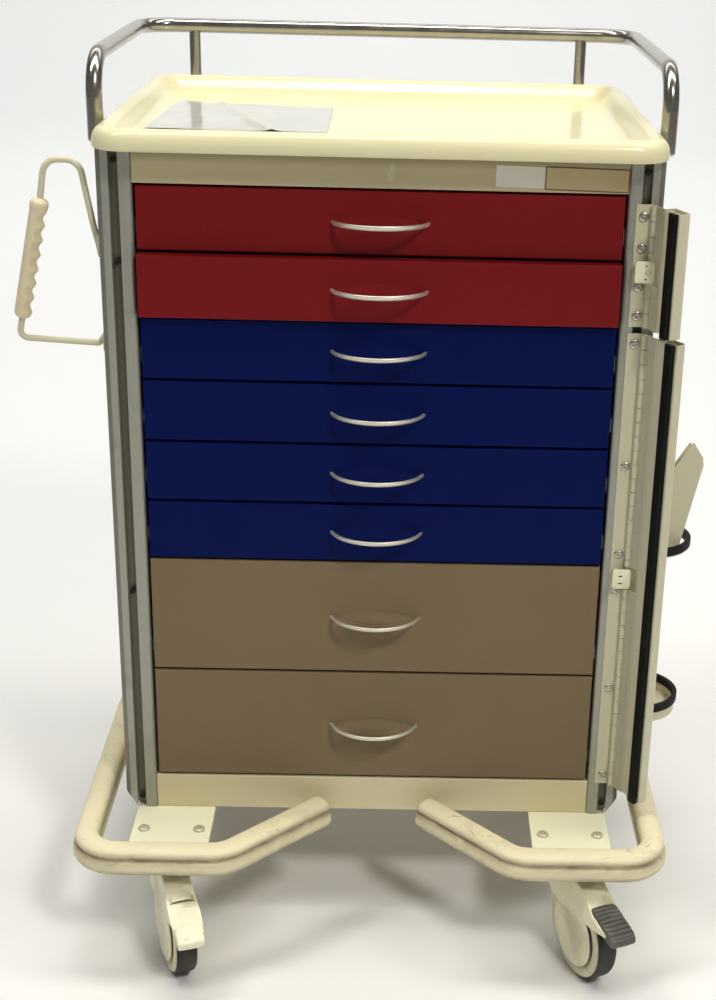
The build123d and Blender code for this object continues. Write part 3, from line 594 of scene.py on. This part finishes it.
# ---- tray ---------------------------------------------------------------------------------------
# (inset from the outer edge, height) in millimetres, from under the tray over its crest to the floor
TRAY_PROFILE = [
    (60.0, 1016.2), (8.0, 1016.2), (0.8, 1016.2), (0.2, 1017.0), (0.0, 1019.0), (0.3, 1024.0),
    (1.2, 1029.0), (2.8, 1033.0), (5.4, 1036.4), (9.0, 1038.8), (13.0, 1039.9), (17.0, 1039.3),
    (20.5, 1037.3), (24.0, 1034.0), (28.0, 1029.6), (32.0, 1025.6), (36.0, 1022.9), (40.0, 1021.6),
    (45.0, 1021.1), (60.0, 1021.0),
]


def make_tray():
    """A moulded tray: steep outside, rounded crest, long slope down to a flat floor."""
    low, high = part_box("top_tray")
    middle = ((low[0] + high[0]) / 2, (low[1] + high[1]) / 2)
    half_x, half_y = (high[0] - low[0]) / 2, (high[1] - low[1]) / 2
    rings = []
    for inset, z in TRAY_PROFILE:
        radius = max(42.0 - 0.75 * inset, 8.0) * MM
        rings.append(
            box_loop(half_x - inset * MM, half_y - inset * MM, radius, z * MM, middle, 12)
        )
    bm = bmesh.new()
    loft(bm, rings)
    piece_from("tray_moulded", bm, "tray", "frame", ["top_tray"], 60)


make_tray()


# ---- drawer pulls -------------------------------------------------------------------------------
def make_pull(number):
    """A thin bow, fullest in the middle, whose ends widen a little where they meet the front."""
    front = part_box(f"drawer_{number}_front")[0][1] + 0.4 * MM
    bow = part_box(f"drawer_{number}_pull")[0][1] + 2.6 * MM
    height = pull_height(number)
    end_x = 53.5 * MM
    start = Vector((-end_x, front, height))
    peak = Vector((0, bow, height + 2.6 * MM))
    end = Vector((end_x, front, height))

    def section(share):
        swell = 0.9 + 0.1 * math.sin(math.pi * share)
        foot = 1 + 0.12 * max(0.0, 1 - min(share, 1 - share) / 0.03)
        return oval(2.3 * MM * swell * foot, 3.8 * MM * swell * foot, 24)

    bm = bmesh.new()
    sweep(bm, arc_through(start, peak, end, 56), section)
    node = f"drawer_{number}_pull"
    piece_from(f"pull_{number}", bm, "nickel", f"drawer_{number}", [node], 50)


for number in range(1, 9):
    make_pull(number)


# ---- bumpers ------------------------------------------------------------------------------------
# (outward, up) in millimetres: a fat upper roll, a groove and a lower lip
BUMPER_SECTION = [
    (-16.4, 2.0), (-16.5, 9.0), (-16.4, 18.0), (-15.0, 23.5), (-11.0, 27.2), (-4.0, 28.6),
    (3.0, 28.3), (8.6, 26.6), (12.4, 23.4), (13.6, 20.2), (12.8, 17.6), (11.3, 15.6), (12.0, 13.6),
    (14.6, 11.8), (16.4, 8.4), (16.5, 2.0), (15.4, -2.6), (12.0, -5.2), (0.0, -5.4), (-12.0, -5.2),
    (-15.2, -3.4),
]
BUMPER_HALF_WIDTH = 16.5
BUMPER_MIDDLE = 13.0
# the share of the section that is left at each of the last points before an arm's end
BUMPER_TIP = (0.72, 0.85, 0.94, 0.985)


def make_bumper():
    """Both bumper arms, each on its own side of the cart, with rounded-off ends."""
    low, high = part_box("bumper_rails")
    front, back = low[1] + BUMPER_HALF_WIDTH * MM, high[1] - BUMPER_HALF_WIDTH * MM
    side = high[0] - BUMPER_HALF_WIDTH * MM
    section = smooth_loop([(u * MM, v * MM) for u, v in BUMPER_SECTION], 3)
    bm = bmesh.new()
    for hand, inner in ((-1, -62 * MM), (1, -66 * MM)):
        corners = [
            (inner, -160 * MM), (-180 * MM, front), (-side, front), (-side, back), (-70 * MM, back)
        ]
        corners = [(-hand * x, y, low[2]) for x, y in corners]
        path = rounded_path(corners, [0.0435] * 3, math.radians(5))
        tips = []
        for end, inward in ((path[0], path[1]), (path[-1], path[-2])):
            way = (inward - end).normalized()
            tips.append([end + way * reach * MM for reach in (0.0, 0.7, 2.0, 4.0, 7.0)])
        path = tips[0] + path[1:-1] + tips[1][::-1]
        last = len(path) - 1

        def shape(share):
            i = round(share * last)
            step = min(i, last - i)
            scale = BUMPER_TIP[step] if step < len(BUMPER_TIP) else 1.0
            middle = BUMPER_MIDDLE * MM
            return [(hand * u * scale, middle + (v - middle) * scale) for u, v in section]

        sweep(bm, path, shape, up=(0, 0, 1))
    piece_from("bumper_moulded", bm, "bumper", "frame", ["bumper_rails"], 60)


make_bumper()


# ---- side handle --------------------------------------------------------------------------------
# (x, z) in millimetres: the bar's corners, the radii of its bends, and the ends of the grip
HANDLE_OUTLINE = [
    (-321.0, 886.0), (-323.5, 902.0), (-329.0, 926.0), (-341.0, 996.0), (-380.0, 996.0),
    (-387.0, 952.0), (-416.5, 812.0), (-421.5, 788.0), (-328.0, 783.0), (-321.0, 792.0),
]
HANDLE_BENDS = (10, 20, 18, 18, 12, 10, 9, 5)
GRIP_TOP = (-387.0, 952.0)
GRIP_FOOT = (-416.5, 812.0)
FINGERS = 7


def make_handle(y):
    """The bent bar with a clamp foot at each end; y is its plane, in millimetres."""
    path = rounded_path([spot(x, y, z) for x, z in HANDLE_OUTLINE], [r * MM for r in HANDLE_BENDS])
    bm = bmesh.new()

    def bar(share):
        flat = 1.0 - 0.35 * max(0.0, 1 - share / 0.06)
        return oval(3.7 * MM * flat, 3.7 * MM / flat)

    sweep(bm, path, bar)
    # half width, half height, corner radius and rise of each level of a foot
    foot = [
        (8.5, 12.0, 4.0, 0.0), (8.5, 12.0, 4.0, 1.6), (7.6, 11.1, 3.4, 2.6), (5.5, 8.0, 3.0, 2.9)
    ]
    rings = [box_loop(w * MM, h * MM, r * MM, z * MM) for w, h, r, z in foot]
    for height in (900.0, 786.0):
        loft(bm, placed(rings, facing(spot(-320.0, y, height), (-1, 0, 0))))
    piece_from("side_handle_tube", bm, "leaf", "frame", ["side_handle_bar"], 50)


def make_grip(y):
    """The grip on the bar, with finger grooves along the side that faces the cart."""
    top, foot = spot(GRIP_TOP[0], y, GRIP_TOP[1]), spot(GRIP_FOOT[0], y, GRIP_FOOT[1])
    axis = (foot - top).normalized()
    inner = Vector((1, 0, 0))
    inner = (inner - axis * inner.dot(axis)).normalized()
    across = axis.cross(inner)
    length = (foot - top).length
    rings = []
    count, sides = 150, 36
    for i in range(count + 1):
        along = i / count * length
        cap = 1.0
        for edge, soft in ((along, 7.0 * MM), (length - along, 8.0 * MM)):
            if edge < soft:
                cap *= 0.42 + 0.58 * math.sqrt(max(0.0, 1 - (1 - edge / soft) ** 2))
        grooved = min(max((along - 14 * MM) / (length - 22 * MM), 0.0), 1.0)
        wave = math.sin(math.pi * FINGERS * grooved) ** 2
        groove = 3.4 * MM * wave**0.8
        collar = 0.7 * MM if 3 * MM < along < 11 * MM else 0.0
        ring = []
        for k in range(sides):
            turn = 2 * math.pi * k / sides
            face = min(max((math.cos(turn) + 0.05) / 0.5, 0.0), 1.0)
            radius = (10.1 * MM + collar - groove * face * face * (3 - 2 * face)) * cap
            outward = inner * math.cos(turn) + across * math.sin(turn)
            ring.append(top + axis * along + outward * radius)
        rings.append(ring)
    bm = bmesh.new()
    loft(bm, rings)
    node = "side_handle_grip"
    piece_from("side_handle_grip_moulded", bm, "grip", "frame", [node], 60)


grip_low, grip_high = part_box("side_handle_grip")
handle_y = (grip_low[1] + grip_high[1]) / 2 / MM
make_handle(handle_y)
make_grip(handle_y)


# ---- screws -------------------------------------------------------------------------------------
def screw_head(bm, place, radius, height):
    """A pan head with a cross recess, in millimetres."""
    count, start = 48, 0.4
    quarter = math.pi / 2
    levels = [
        (1.0, -0.05), (1.0, 0.35), (0.95, 0.6), (0.84, 0.82), (0.66, 0.95), (0.58, 0.98),
        (0.52, 1.0), (0.36, 1.0), (0.24, 1.0), (0.12, 1.0),
    ]
    rows = []
    for share, rise in levels:
        row = []
        for k in range(count):
            turn = 2 * math.pi * k / count
            off_arm = abs((turn + quarter / 2) % quarter - quarter / 2)
            recess = 0.0
            if share < 0.55 and off_arm * share < 0.16:
                recess = 0.45
            if share <= 0.13:
                recess = 0.55
            x = radius * share * math.cos(turn + start)
            y = radius * share * math.sin(turn + start)
            row.append(spot(x, y, height * (rise - recess)))
        rows.append(row)
    loft(bm, placed(rows, place))


def make_screws():
    """Screws on the hinge leaves and holder, bolts on the plates, and dark ones in the slots."""
    bm = bmesh.new()
    for height in LEAF_SCREW_HEIGHTS:
        screw_head(bm, facing(spot(LEAF_SCREW_X, LEAF_FACE_Y, height), (0, -1, 0)), 5.8, 2.7)
    for height in (250.0, 422.0):
        screw_head(bm, facing(spot(315.0, 99.0, height), (1, 0, 0)), 5.0, 2.7)
    piece_from("screw_heads", bm, "screw", "frame", ["screws"], 40)
    bm = bmesh.new()
    for x in (-290.0, -220.0, 220.0, 290.0):
        screw_head(bm, Matrix.Translation(spot(x, -195.0, 162.0)), 7.6, 3.8)
    piece_from("plate_bolts", bm, "bolt", "frame", ["screws"], 40)
    bm = bmesh.new()
    for x, heights in ((-300, (1000, 884, 470, 176)), (300, (1000, 176))):
        for height in heights:
            screw_head(bm, facing(spot(x, -138.5, height), (0, -1, 0)), 3.6, 2.2)
    piece_from("slot_screws", bm, "dark_screw", "frame", (), 40)


make_screws()


# ---- lock doors ---------------------------------------------------------------------------------
def slab(bm, place, half_x, half_y, radius, levels):
    """A rounded slab in millimetres; levels are (inset, height) from its foot to its top."""
    rings = [
        box_loop((half_x - inset) * MM, (half_y - inset) * MM, radius * MM, height * MM)
        for inset, height in levels
    ]
    loft(bm, placed(rings, place))


def hole(bm, place, radius):
    """A low dark dome, in millimetres, that paints the shade of a small hole."""
    rise = 0.25
    levels = [(radius, -0.2), (radius, rise * 0.3)]
    for i in range(1, 6):
        turn = math.pi / 2 * i / 5.5
        share = 0.35 + 0.65 * math.cos(turn)
        levels.append((radius * share, rise * (0.3 + 0.7 * math.sin(turn))))
    rings = [[spot(x, y, h) for x, y in oval(r, r, 28)] for r, h in levels]
    loft(bm, placed(rings, place))


def make_lock_faces():
    """Pale skins on the lock plates with a ring boss; a dark ring in the boss, two holes above and
    two slots below are dark pieces that paint their shade.
    """
    outward = (0, -1, 0)
    skins, dark, backings = bmesh.new(), bmesh.new(), bmesh.new()
    for height in LOCK_HEIGHTS:
        place = facing(spot(302.0, LOCK_FACE_Y, height), outward)
        slab(skins, place, 11.1, 12.6, 3.4, ((0.0, 0.0), (0.0, 0.75), (0.35, 1.05)))
        place = facing(spot(316.5, -143.1, height - 4.0), outward)
        slab(backings, place, 8.0, 20.0, 1.5, ((0.0, -0.8), (0.0, 0.0), (0.4, 0.4)))
    boss = facing(spot(306.0, LOCK_FACE_Y - 0.95, LOCK_HEIGHTS[0]), outward)
    turns = [2 * math.pi * i / 12 for i in range(12)]
    lathe(skins, [(3.7 + math.cos(turn), 0.9 * math.sin(turn)) for turn in turns], boss, 36)
    # painted shade: the dark ring in the boss, the holes and the slots
    lathe(dark, [(2.4, -0.3), (3.0, -0.3), (3.0, 0.35), (2.4, 0.35)], boss, 36)
    for z in (881.5, 897.0):
        hole(dark, facing(spot(303.5, LOCK_FACE_Y - 1.0, z), outward), 1.1)
    for z in (510.0, 500.5):
        place = facing(spot(300.5, LOCK_FACE_Y - 1.0, z), outward)
        slab(dark, place, 2.4, 0.8, 0.4, ((0.0, -0.2), (0.0, 0.1), (0.2, 0.2)))
    piece_from("lock_plate_faces", skins, "plate", "frame", (), 50)
    piece_from("lock_plate_shade_marks", dark, "dark_screw", "frame", (), 50)
    piece_from("lock_backings", backings, "leaf", "frame", (), 50)


def make_liners():
    """A thin sheet that closes each door's inner face, from its fold to the flange."""
    outline = [(-31.5, -1.2), (-19.5, -1.2), (-19.5, -0.5), (-31.5, -0.5)]
    for name, turn in DOOR_TURNS.items():
        body = f"lock_door_{name}"
        low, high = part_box(body)
        swing = Matrix.Translation(spot(*HINGE, 0.0)) @ Matrix.Rotation(math.radians(turn), 4, "Z")
        ends = (low[2] + MM, high[2] - MM)
        rings = [[Vector((x * MM, y * MM, z)) for x, y in outline] for z in ends]
        bm = bmesh.new()
        loft(bm, placed(rings, swing))
        piece_from(f"{body}_liner", bm, "leaf", body, (), 40)


make_liners()
make_lock_faces()


# ---- label, sticker and tape on the header ------------------------------------------------------
def thin_plate(name, x, z, half_x, half_z, radius, thick, look, lean, border=None):
    """A thin blank plate on the header, in millimetres, or only its border of that width."""
    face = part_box("header_panel")[0][1]
    place = facing(Vector((x * MM, face, z * MM)), (0, -1, 0))
    place = place @ Matrix.Rotation(math.radians(lean), 4, "Z")

    def loop(half_x, half_z, rise):
        return box_loop(half_x * MM, half_z * MM, radius * MM, thick * rise * MM)

    outline = ((0.0, 0.0), (0.0, 0.7), (0.35, 1.0))
    rings = [loop(half_x - inset, half_z - inset, rise) for inset, rise in outline]
    if border:
        inner_x, inner_z = half_x - border, half_z - border
        rings += [loop(inner_x + inset, inner_z + inset, rise) for inset, rise in outline[::-1]]
    bm = bmesh.new()
    loft(bm, placed(rings, place), along=bool(border))
    piece_from(name, bm, look, "frame", (), 50)


thin_plate("header_label", 232.0, 990.5, 46.5, 12.2, 0.6, 0.5, "label", -1.0)
thin_plate(
    "header_label_edge", 232.0, 990.5, 47.5, 13.2, 0.9, 0.9, "label_edge", -1.0, 1.3
)
thin_plate("header_sticker", 156.5, 992.0, 27.5, 11.8, 1.2, 0.35, "paper", -1.2)
thin_plate("header_tape", 11.5, 992.5, 3.4, 9.6, 0.5, 0.25, "tape", -11.0)


# ---- clear sheet left in the tray ---------------------------------------------------------------
# corners (x, y) on the tray floor, and the floor's height, in millimetres
SHEET_CORNERS = [(-264, 162), (-66, 143), (-65, -56), (-278, -53)]
SHEET_HEIGHT = 1021.5


def make_clear_sheet():
    """A loose sheet of clear plastic on the tray floor, with a lifted corner and a long crease."""
    corners = [spot(x, y, SHEET_HEIGHT) for x, y in SHEET_CORNERS]
    count = 40
    bm = bmesh.new()
    rows = []
    for j in range(count + 1):
        v = j / count
        row = []
        for i in range(count + 1):
            u = i / count
            point = corners[0].lerp(corners[1], u).lerp(corners[3].lerp(corners[2], u), v)
            crease = max(0.0, 1 - abs(u - 0.28 - 0.42 * v) / 0.07)
            curl = max(0.0, 1 - (u + v) / 0.3) ** 2
            edge = max(0.0, 1 - u / 0.12) ** 2 * (1 - v)
            ripple = 0.5 + 0.5 * math.sin(9 * u + 4 * v) * math.sin(5 * v - 2 * u)
            point.z += (0.2 + 2.4 * crease**2 + 2.0 * curl + edge + 0.9 * ripple) * MM
            row.append(bm.verts.new(point))
        rows.append(row)
    for row, after in zip(rows, rows[1:]):
        for i in range(count):
            bm.faces.new((row[i], row[i + 1], after[i + 1], after[i]))
    sheet = piece_from("clear_sheet", bm, "clear", "frame", ())


make_clear_sheet()


# ---- casters ------------------------------------------------------------------------------------
# swivel axis (x, y) in millimetres and the way the caster trails, in degrees
CASTERS = {
    "front_left": (-258.0, -218.5, -69.5),
    "front_right": (258.0, -218.5, -66.3),
    "rear_left": (-258.0, 254.0, -76.0),
    "rear_right": (258.0, 254.0, -70.0),
}
# (x, z) in caster coordinates, in millimetres, and the tilt of a pressed pedal
WHEEL_AT = (38.0, 62.5)
PEDAL_PIVOT = (65.0, 124.2)
PEDAL_TRAVEL = math.radians(15)


def caster_place(corner):
    """From caster coordinates, X along the trail, to the model's."""
    x, y, turn = CASTERS[corner]
    return Matrix.Translation(spot(x, y, 0)) @ Matrix.Rotation(math.radians(turn), 4, "Z")


def remoulded(node, name, look, body, shape, place):
    """A CAD part's form with its edges melted round, then bent by shape in caster coordinates."""
    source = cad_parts[node]
    piece = bpy.data.objects.new(name, source.data.copy())
    scene.collection.objects.link(piece)
    piece.matrix_world = source.matrix_world
    weld = piece.modifiers.new("weld", "WELD")
    weld.merge_threshold = 0.00002
    remesh = piece.modifiers.new("remesh", "REMESH")
    remesh.mode = "VOXEL"
    remesh.voxel_size = 1.1 * MM
    melt = piece.modifiers.new("melt", "SMOOTH")
    melt.factor = 0.5
    melt.iterations = 7
    depsgraph = bpy.context.evaluated_depsgraph_get()
    made = bpy.data.meshes.new_from_object(piece.evaluated_get(depsgraph))
    made.transform(source.matrix_world)
    piece.modifiers.clear()
    piece.data = made
    piece.matrix_world = Matrix.Identity(4)
    back = place.inverted()
    for vertex in made.vertices:
        local = back @ vertex.co / MM
        vertex.co = place @ (Vector(shape(*local)) * MM)
    made.shade_smooth()
    dress(piece, look)
    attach(piece, body)
    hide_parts(node)


def crowned(x, y, z):
    """The fork's hood is crowned across and narrows towards its neck and its nose."""
    neck = min(max((z - 112.0) / 24.0, 0.0), 1.0)
    y *= 1.0 - 0.16 * neck
    top = min(max((z - 96.0) / 30.0, 0.0), 1.0)
    z -= 2.4 * top * (y / 20.0) ** 2
    nose = min(max((x - 84.0) / 34.0, 0.0), 1.0)
    y -= math.copysign(2.0 * nose, y) if abs(y) > 10 else 0.0
    return x, y, z


def worn_down(x, y, z):
    """As crowned, with wings that end level with a pressed pedal."""
    x, y, z = crowned(x, y, z)
    if x > 70.0 and abs(y) > 12.0:
        z = min(z, 120.6 - 0.545 * (x - 75.0))
    return x, y, z


# (radius, distance from the middle plane) in millimetres, on one side
WHEEL_HALF = [
    (5.2, 13.2), (11.0, 13.4), (14.0, 12.0), (20.0, 10.6), (42.0, 10.6), (45.5, 12.6), (48.0, 14.6),
    (52.0, 15.1), (56.0, 15.0), (58.6, 14.2), (59.4, 12.8), (59.2, 11.8), (56.2, 11.6),
]
TYRE_HALF = [(56.3, 11.4), (59.3, 11.8), (60.2, 12.9), (61.4, 11.9), (62.2, 9.8), (62.5, 6.5)]


def make_caster(corner):
    """A remoulded fork, and a wheel and tyre turned about their axle."""
    place = caster_place(corner)
    form = worn_down if corner == "front_left" else crowned
    fork = f"caster_fork_{corner}"
    remoulded(fork, f"fork_{corner}", "fork", f"caster_{corner}", form, place)
    axle = Matrix.Translation(spot(WHEEL_AT[0], 0.0, WHEEL_AT[1]))
    hub = place @ axle @ Matrix.Rotation(math.pi / 2, 4, "X")
    turned = (("wheel", "wheel_grey", WHEEL_HALF), ("tyre", "tyre_black", TYRE_HALF))
    for part, slot, half in turned:
        node = f"{part}_{corner}"
        bm = bmesh.new()
        lathe(bm, half + [(radius, -side) for radius, side in half[::-1]], hub, 96)
        piece_from(f"{node}_turned", bm, part, f"wheel_{corner}", [node], 40)


for corner in CASTERS:
    make_caster(corner)


def pedal_outline(ribs, rib_height):
    """A released pedal from the side: ribbed on top, blunt nose, and a hollow over the wheel."""
    outline = []
    steps = 120
    for i in range(steps + 1):
        share = i / steps
        x, z = 79.0 + 52.0 * share, 121.9 - 11.5 * share + 1.6 * math.sin(math.pi * share)
        wave = abs(math.sin(math.pi * ribs * share)) ** 0.6 if 0.02 < share < 0.98 else 0.3
        outline.append((x + 0.2 * rib_height * wave, z + rib_height * (wave - 0.6)))
    outline += [
        (133.2, 107.8), (134.2, 105.2), (134.3, 102.2), (133.0, 99.8), (130.0, 98.9),
        (124.0, 98.9), (117.0, 99.4),
    ]
    # an arc a few millimetres outside the tyre
    hollow, steps = 66.8, 8
    for i in range(steps + 1):
        share = i / steps
        turn = math.radians(30.5 + 13.5 * share)
        x = WHEEL_AT[0] + hollow * math.cos(turn) + 5 * (1 - share)
        z = WHEEL_AT[1] + hollow * math.sin(turn) + 5.5 + 2.5 * share
        outline.append((x, z))
    return outline + [(72.0, 114.5), (73.5, 118.5)]


def make_pedal(corner, pressed, look, ribs, rib_height):
    """A ribbed foot pedal in front of the hood, tilted about its pin when pressed."""
    pivot = Vector(PEDAL_PIVOT)
    tilt = Matrix.Rotation(-PEDAL_TRAVEL if pressed else 0.0, 2)
    outline = pedal_outline(ribs, rib_height)
    outline = [tilt @ (Vector(point) - pivot) + pivot for point in outline]
    middle = sum(outline, Vector((0, 0))) / len(outline)
    half = [(-16.6, 2.4), (-16.4, 1.5), (-15.8, 0.7), (-14.4, 0.2), (-8.0, -0.3), (0.0, -0.5)]
    rings = []
    for y, shrink in half + [(-y, shrink) for y, shrink in half[-2::-1]]:
        ring = []
        for point in outline:
            inward = middle - point
            moved = point + inward.normalized() * min(shrink, inward.length * 0.5)
            ring.append(spot(moved.x, y, moved.y))
        rings.append(ring)
    bm = bmesh.new()
    loft(bm, placed(rings, caster_place(corner)))
    body = f"lock_pedal_{corner}"
    piece_from(f"pedal_{corner}", bm, look, body, [body], 55)


make_pedal("front_left", True, "worn_pedal", 9, 0.5)
make_pedal("front_right", False, "pedal", 8, 2.2)


# ---- softened CAD edges -------------------------------------------------------------------------
SOFT = {
    "header_panel": 0.8, "base_panel": 0.8, "corner_posts": 0.5, "corner_plates": 0.7,
    "hinge_leaves": 0.35, "lock_door_upper": 0.5, "lock_door_lower": 0.5, "lock_strip_upper": 0.8,
    "lock_strip_lower": 0.8, "caster_mounts": 0.8, "cylinder_holder": 0.5, "hoop_trims": 2.0,
    "cabinet_panels": 0.5,
}
for node, width in SOFT.items():
    soften(node, width)
for number in range(1, 9):
    soften(f"drawer_{number}_front", 0.5)


# ---- floor, light and camera --------------------------------------------------------------------
def make_floor():
    """A pale floor that curves up into a wall far behind the cart."""
    reach, wall, bend = 30.0, 9.0, 2.5
    steps = 16
    profile = [(-reach, 0.0)]
    for i in range(steps + 1):
        turn = math.pi / 2 * i / steps
        profile.append((wall - bend + bend * math.sin(turn), bend - bend * math.cos(turn)))
    profile.append((wall, 12.0))
    bm = bmesh.new()
    rows = [[bm.verts.new((x, y, z)) for x in (-reach, reach)] for y, z in profile]
    for row, after in zip(rows, rows[1:]):
        bm.faces.new((row[0], row[1], after[1], after[0]))
    data = bpy.data.meshes.new("floor")
    bm.to_mesh(data)
    bm.free()
    data.shade_smooth()
    floor = bpy.data.objects.new("floor", data)
    scene.collection.objects.link(floor)
    s = Shade("floor_pale")
    tone = s.blend(s.noise(0.8, 3.0), (0.82, 0.82, 0.81), (0.86, 0.86, 0.85))
    data.materials.append(s.finish(tone, s.remap(s.noise(0.3), 0.3, 0.7, 0.55, 0.7)))


WARM = (1.0, 0.97, 0.9)
WHITE = (1.0, 1.0, 1.0)
# name, place, target, size, watts, colour
LIGHTS = [
    ("key", (1.5, -2.9, 3.7), (0.0, -0.1, 0.55), (0.6, 0.6), 75.0, WARM),
    ("overhead_left", (-1.1, -0.6, 4.2), (0.0, -0.1, 0.5), (0.7, 3.0), 80.0, WARM),
    ("overhead_right", (1.2, -0.2, 4.2), (0.0, -0.1, 0.5), (0.7, 3.0), 60.0, WARM),
    ("backdrop", (0.0, 4.0, 6.0), (0.0, 8.0, 0.5), (10.0, 4.0), 430.0, WHITE),
]


def make_light(name, place, target, size, watts, colour):
    data = bpy.data.lights.new(name, "AREA")
    data.shape = "RECTANGLE"
    data.size, data.size_y = size
    data.energy = watts
    data.color = colour
    lamp = bpy.data.objects.new(name, data)
    scene.collection.objects.link(lamp)
    lamp.location = place
    lamp.rotation_mode = "QUATERNION"
    lamp.rotation_quaternion = (Vector(target) - Vector(place)).to_track_quat("-Z", "Y")


def make_world():
    """A dim studio, a little darker towards the top, for bright metal to mirror."""
    world = bpy.data.worlds.new("studio")
    world.use_nodes = True
    tree = world.node_tree
    tree.nodes.clear()
    output = tree.nodes.new("ShaderNodeOutputWorld")
    background = tree.nodes.new("ShaderNodeBackground")
    place = tree.nodes.new("ShaderNodeTexCoord")
    split = tree.nodes.new("ShaderNodeSeparateXYZ")
    ramp = tree.nodes.new("ShaderNodeValToRGB")
    tree.links.new(place.outputs["Generated"], split.inputs[0])
    tree.links.new(split.outputs["Z"], ramp.inputs[0])
    tree.links.new(ramp.outputs[0], background.inputs["Color"])
    tree.links.new(background.outputs[0], output.inputs[0])
    elements = ramp.color_ramp.elements
    elements[0].color = (0.26, 0.26, 0.26, 1.0)
    elements.new(0.3).color = (0.2, 0.2, 0.2, 1.0)
    elements[-1].color = (0.1, 0.1, 0.1, 1.0)
    background.inputs["Strength"].default_value = 0.8
    scene.world = world


def make_camera():
    data = bpy.data.cameras.new("camera")
    data.sensor_width = 36.0
    data.lens = 58.9
    data.shift_x = -0.0737
    data.shift_y = 0.0172
    camera = bpy.data.objects.new("camera", data)
    scene.collection.objects.link(camera)
    camera.location = (0.0280, -1.9846, 1.3284)
    camera.rotation_euler = [math.radians(angle) for angle in (67.835, -1.483, -0.618)]
    scene.camera = camera


make_floor()
for light in LIGHTS:
    make_light(*light)
make_world()
make_camera()
scene.view_settings.view_transform = "Standard"
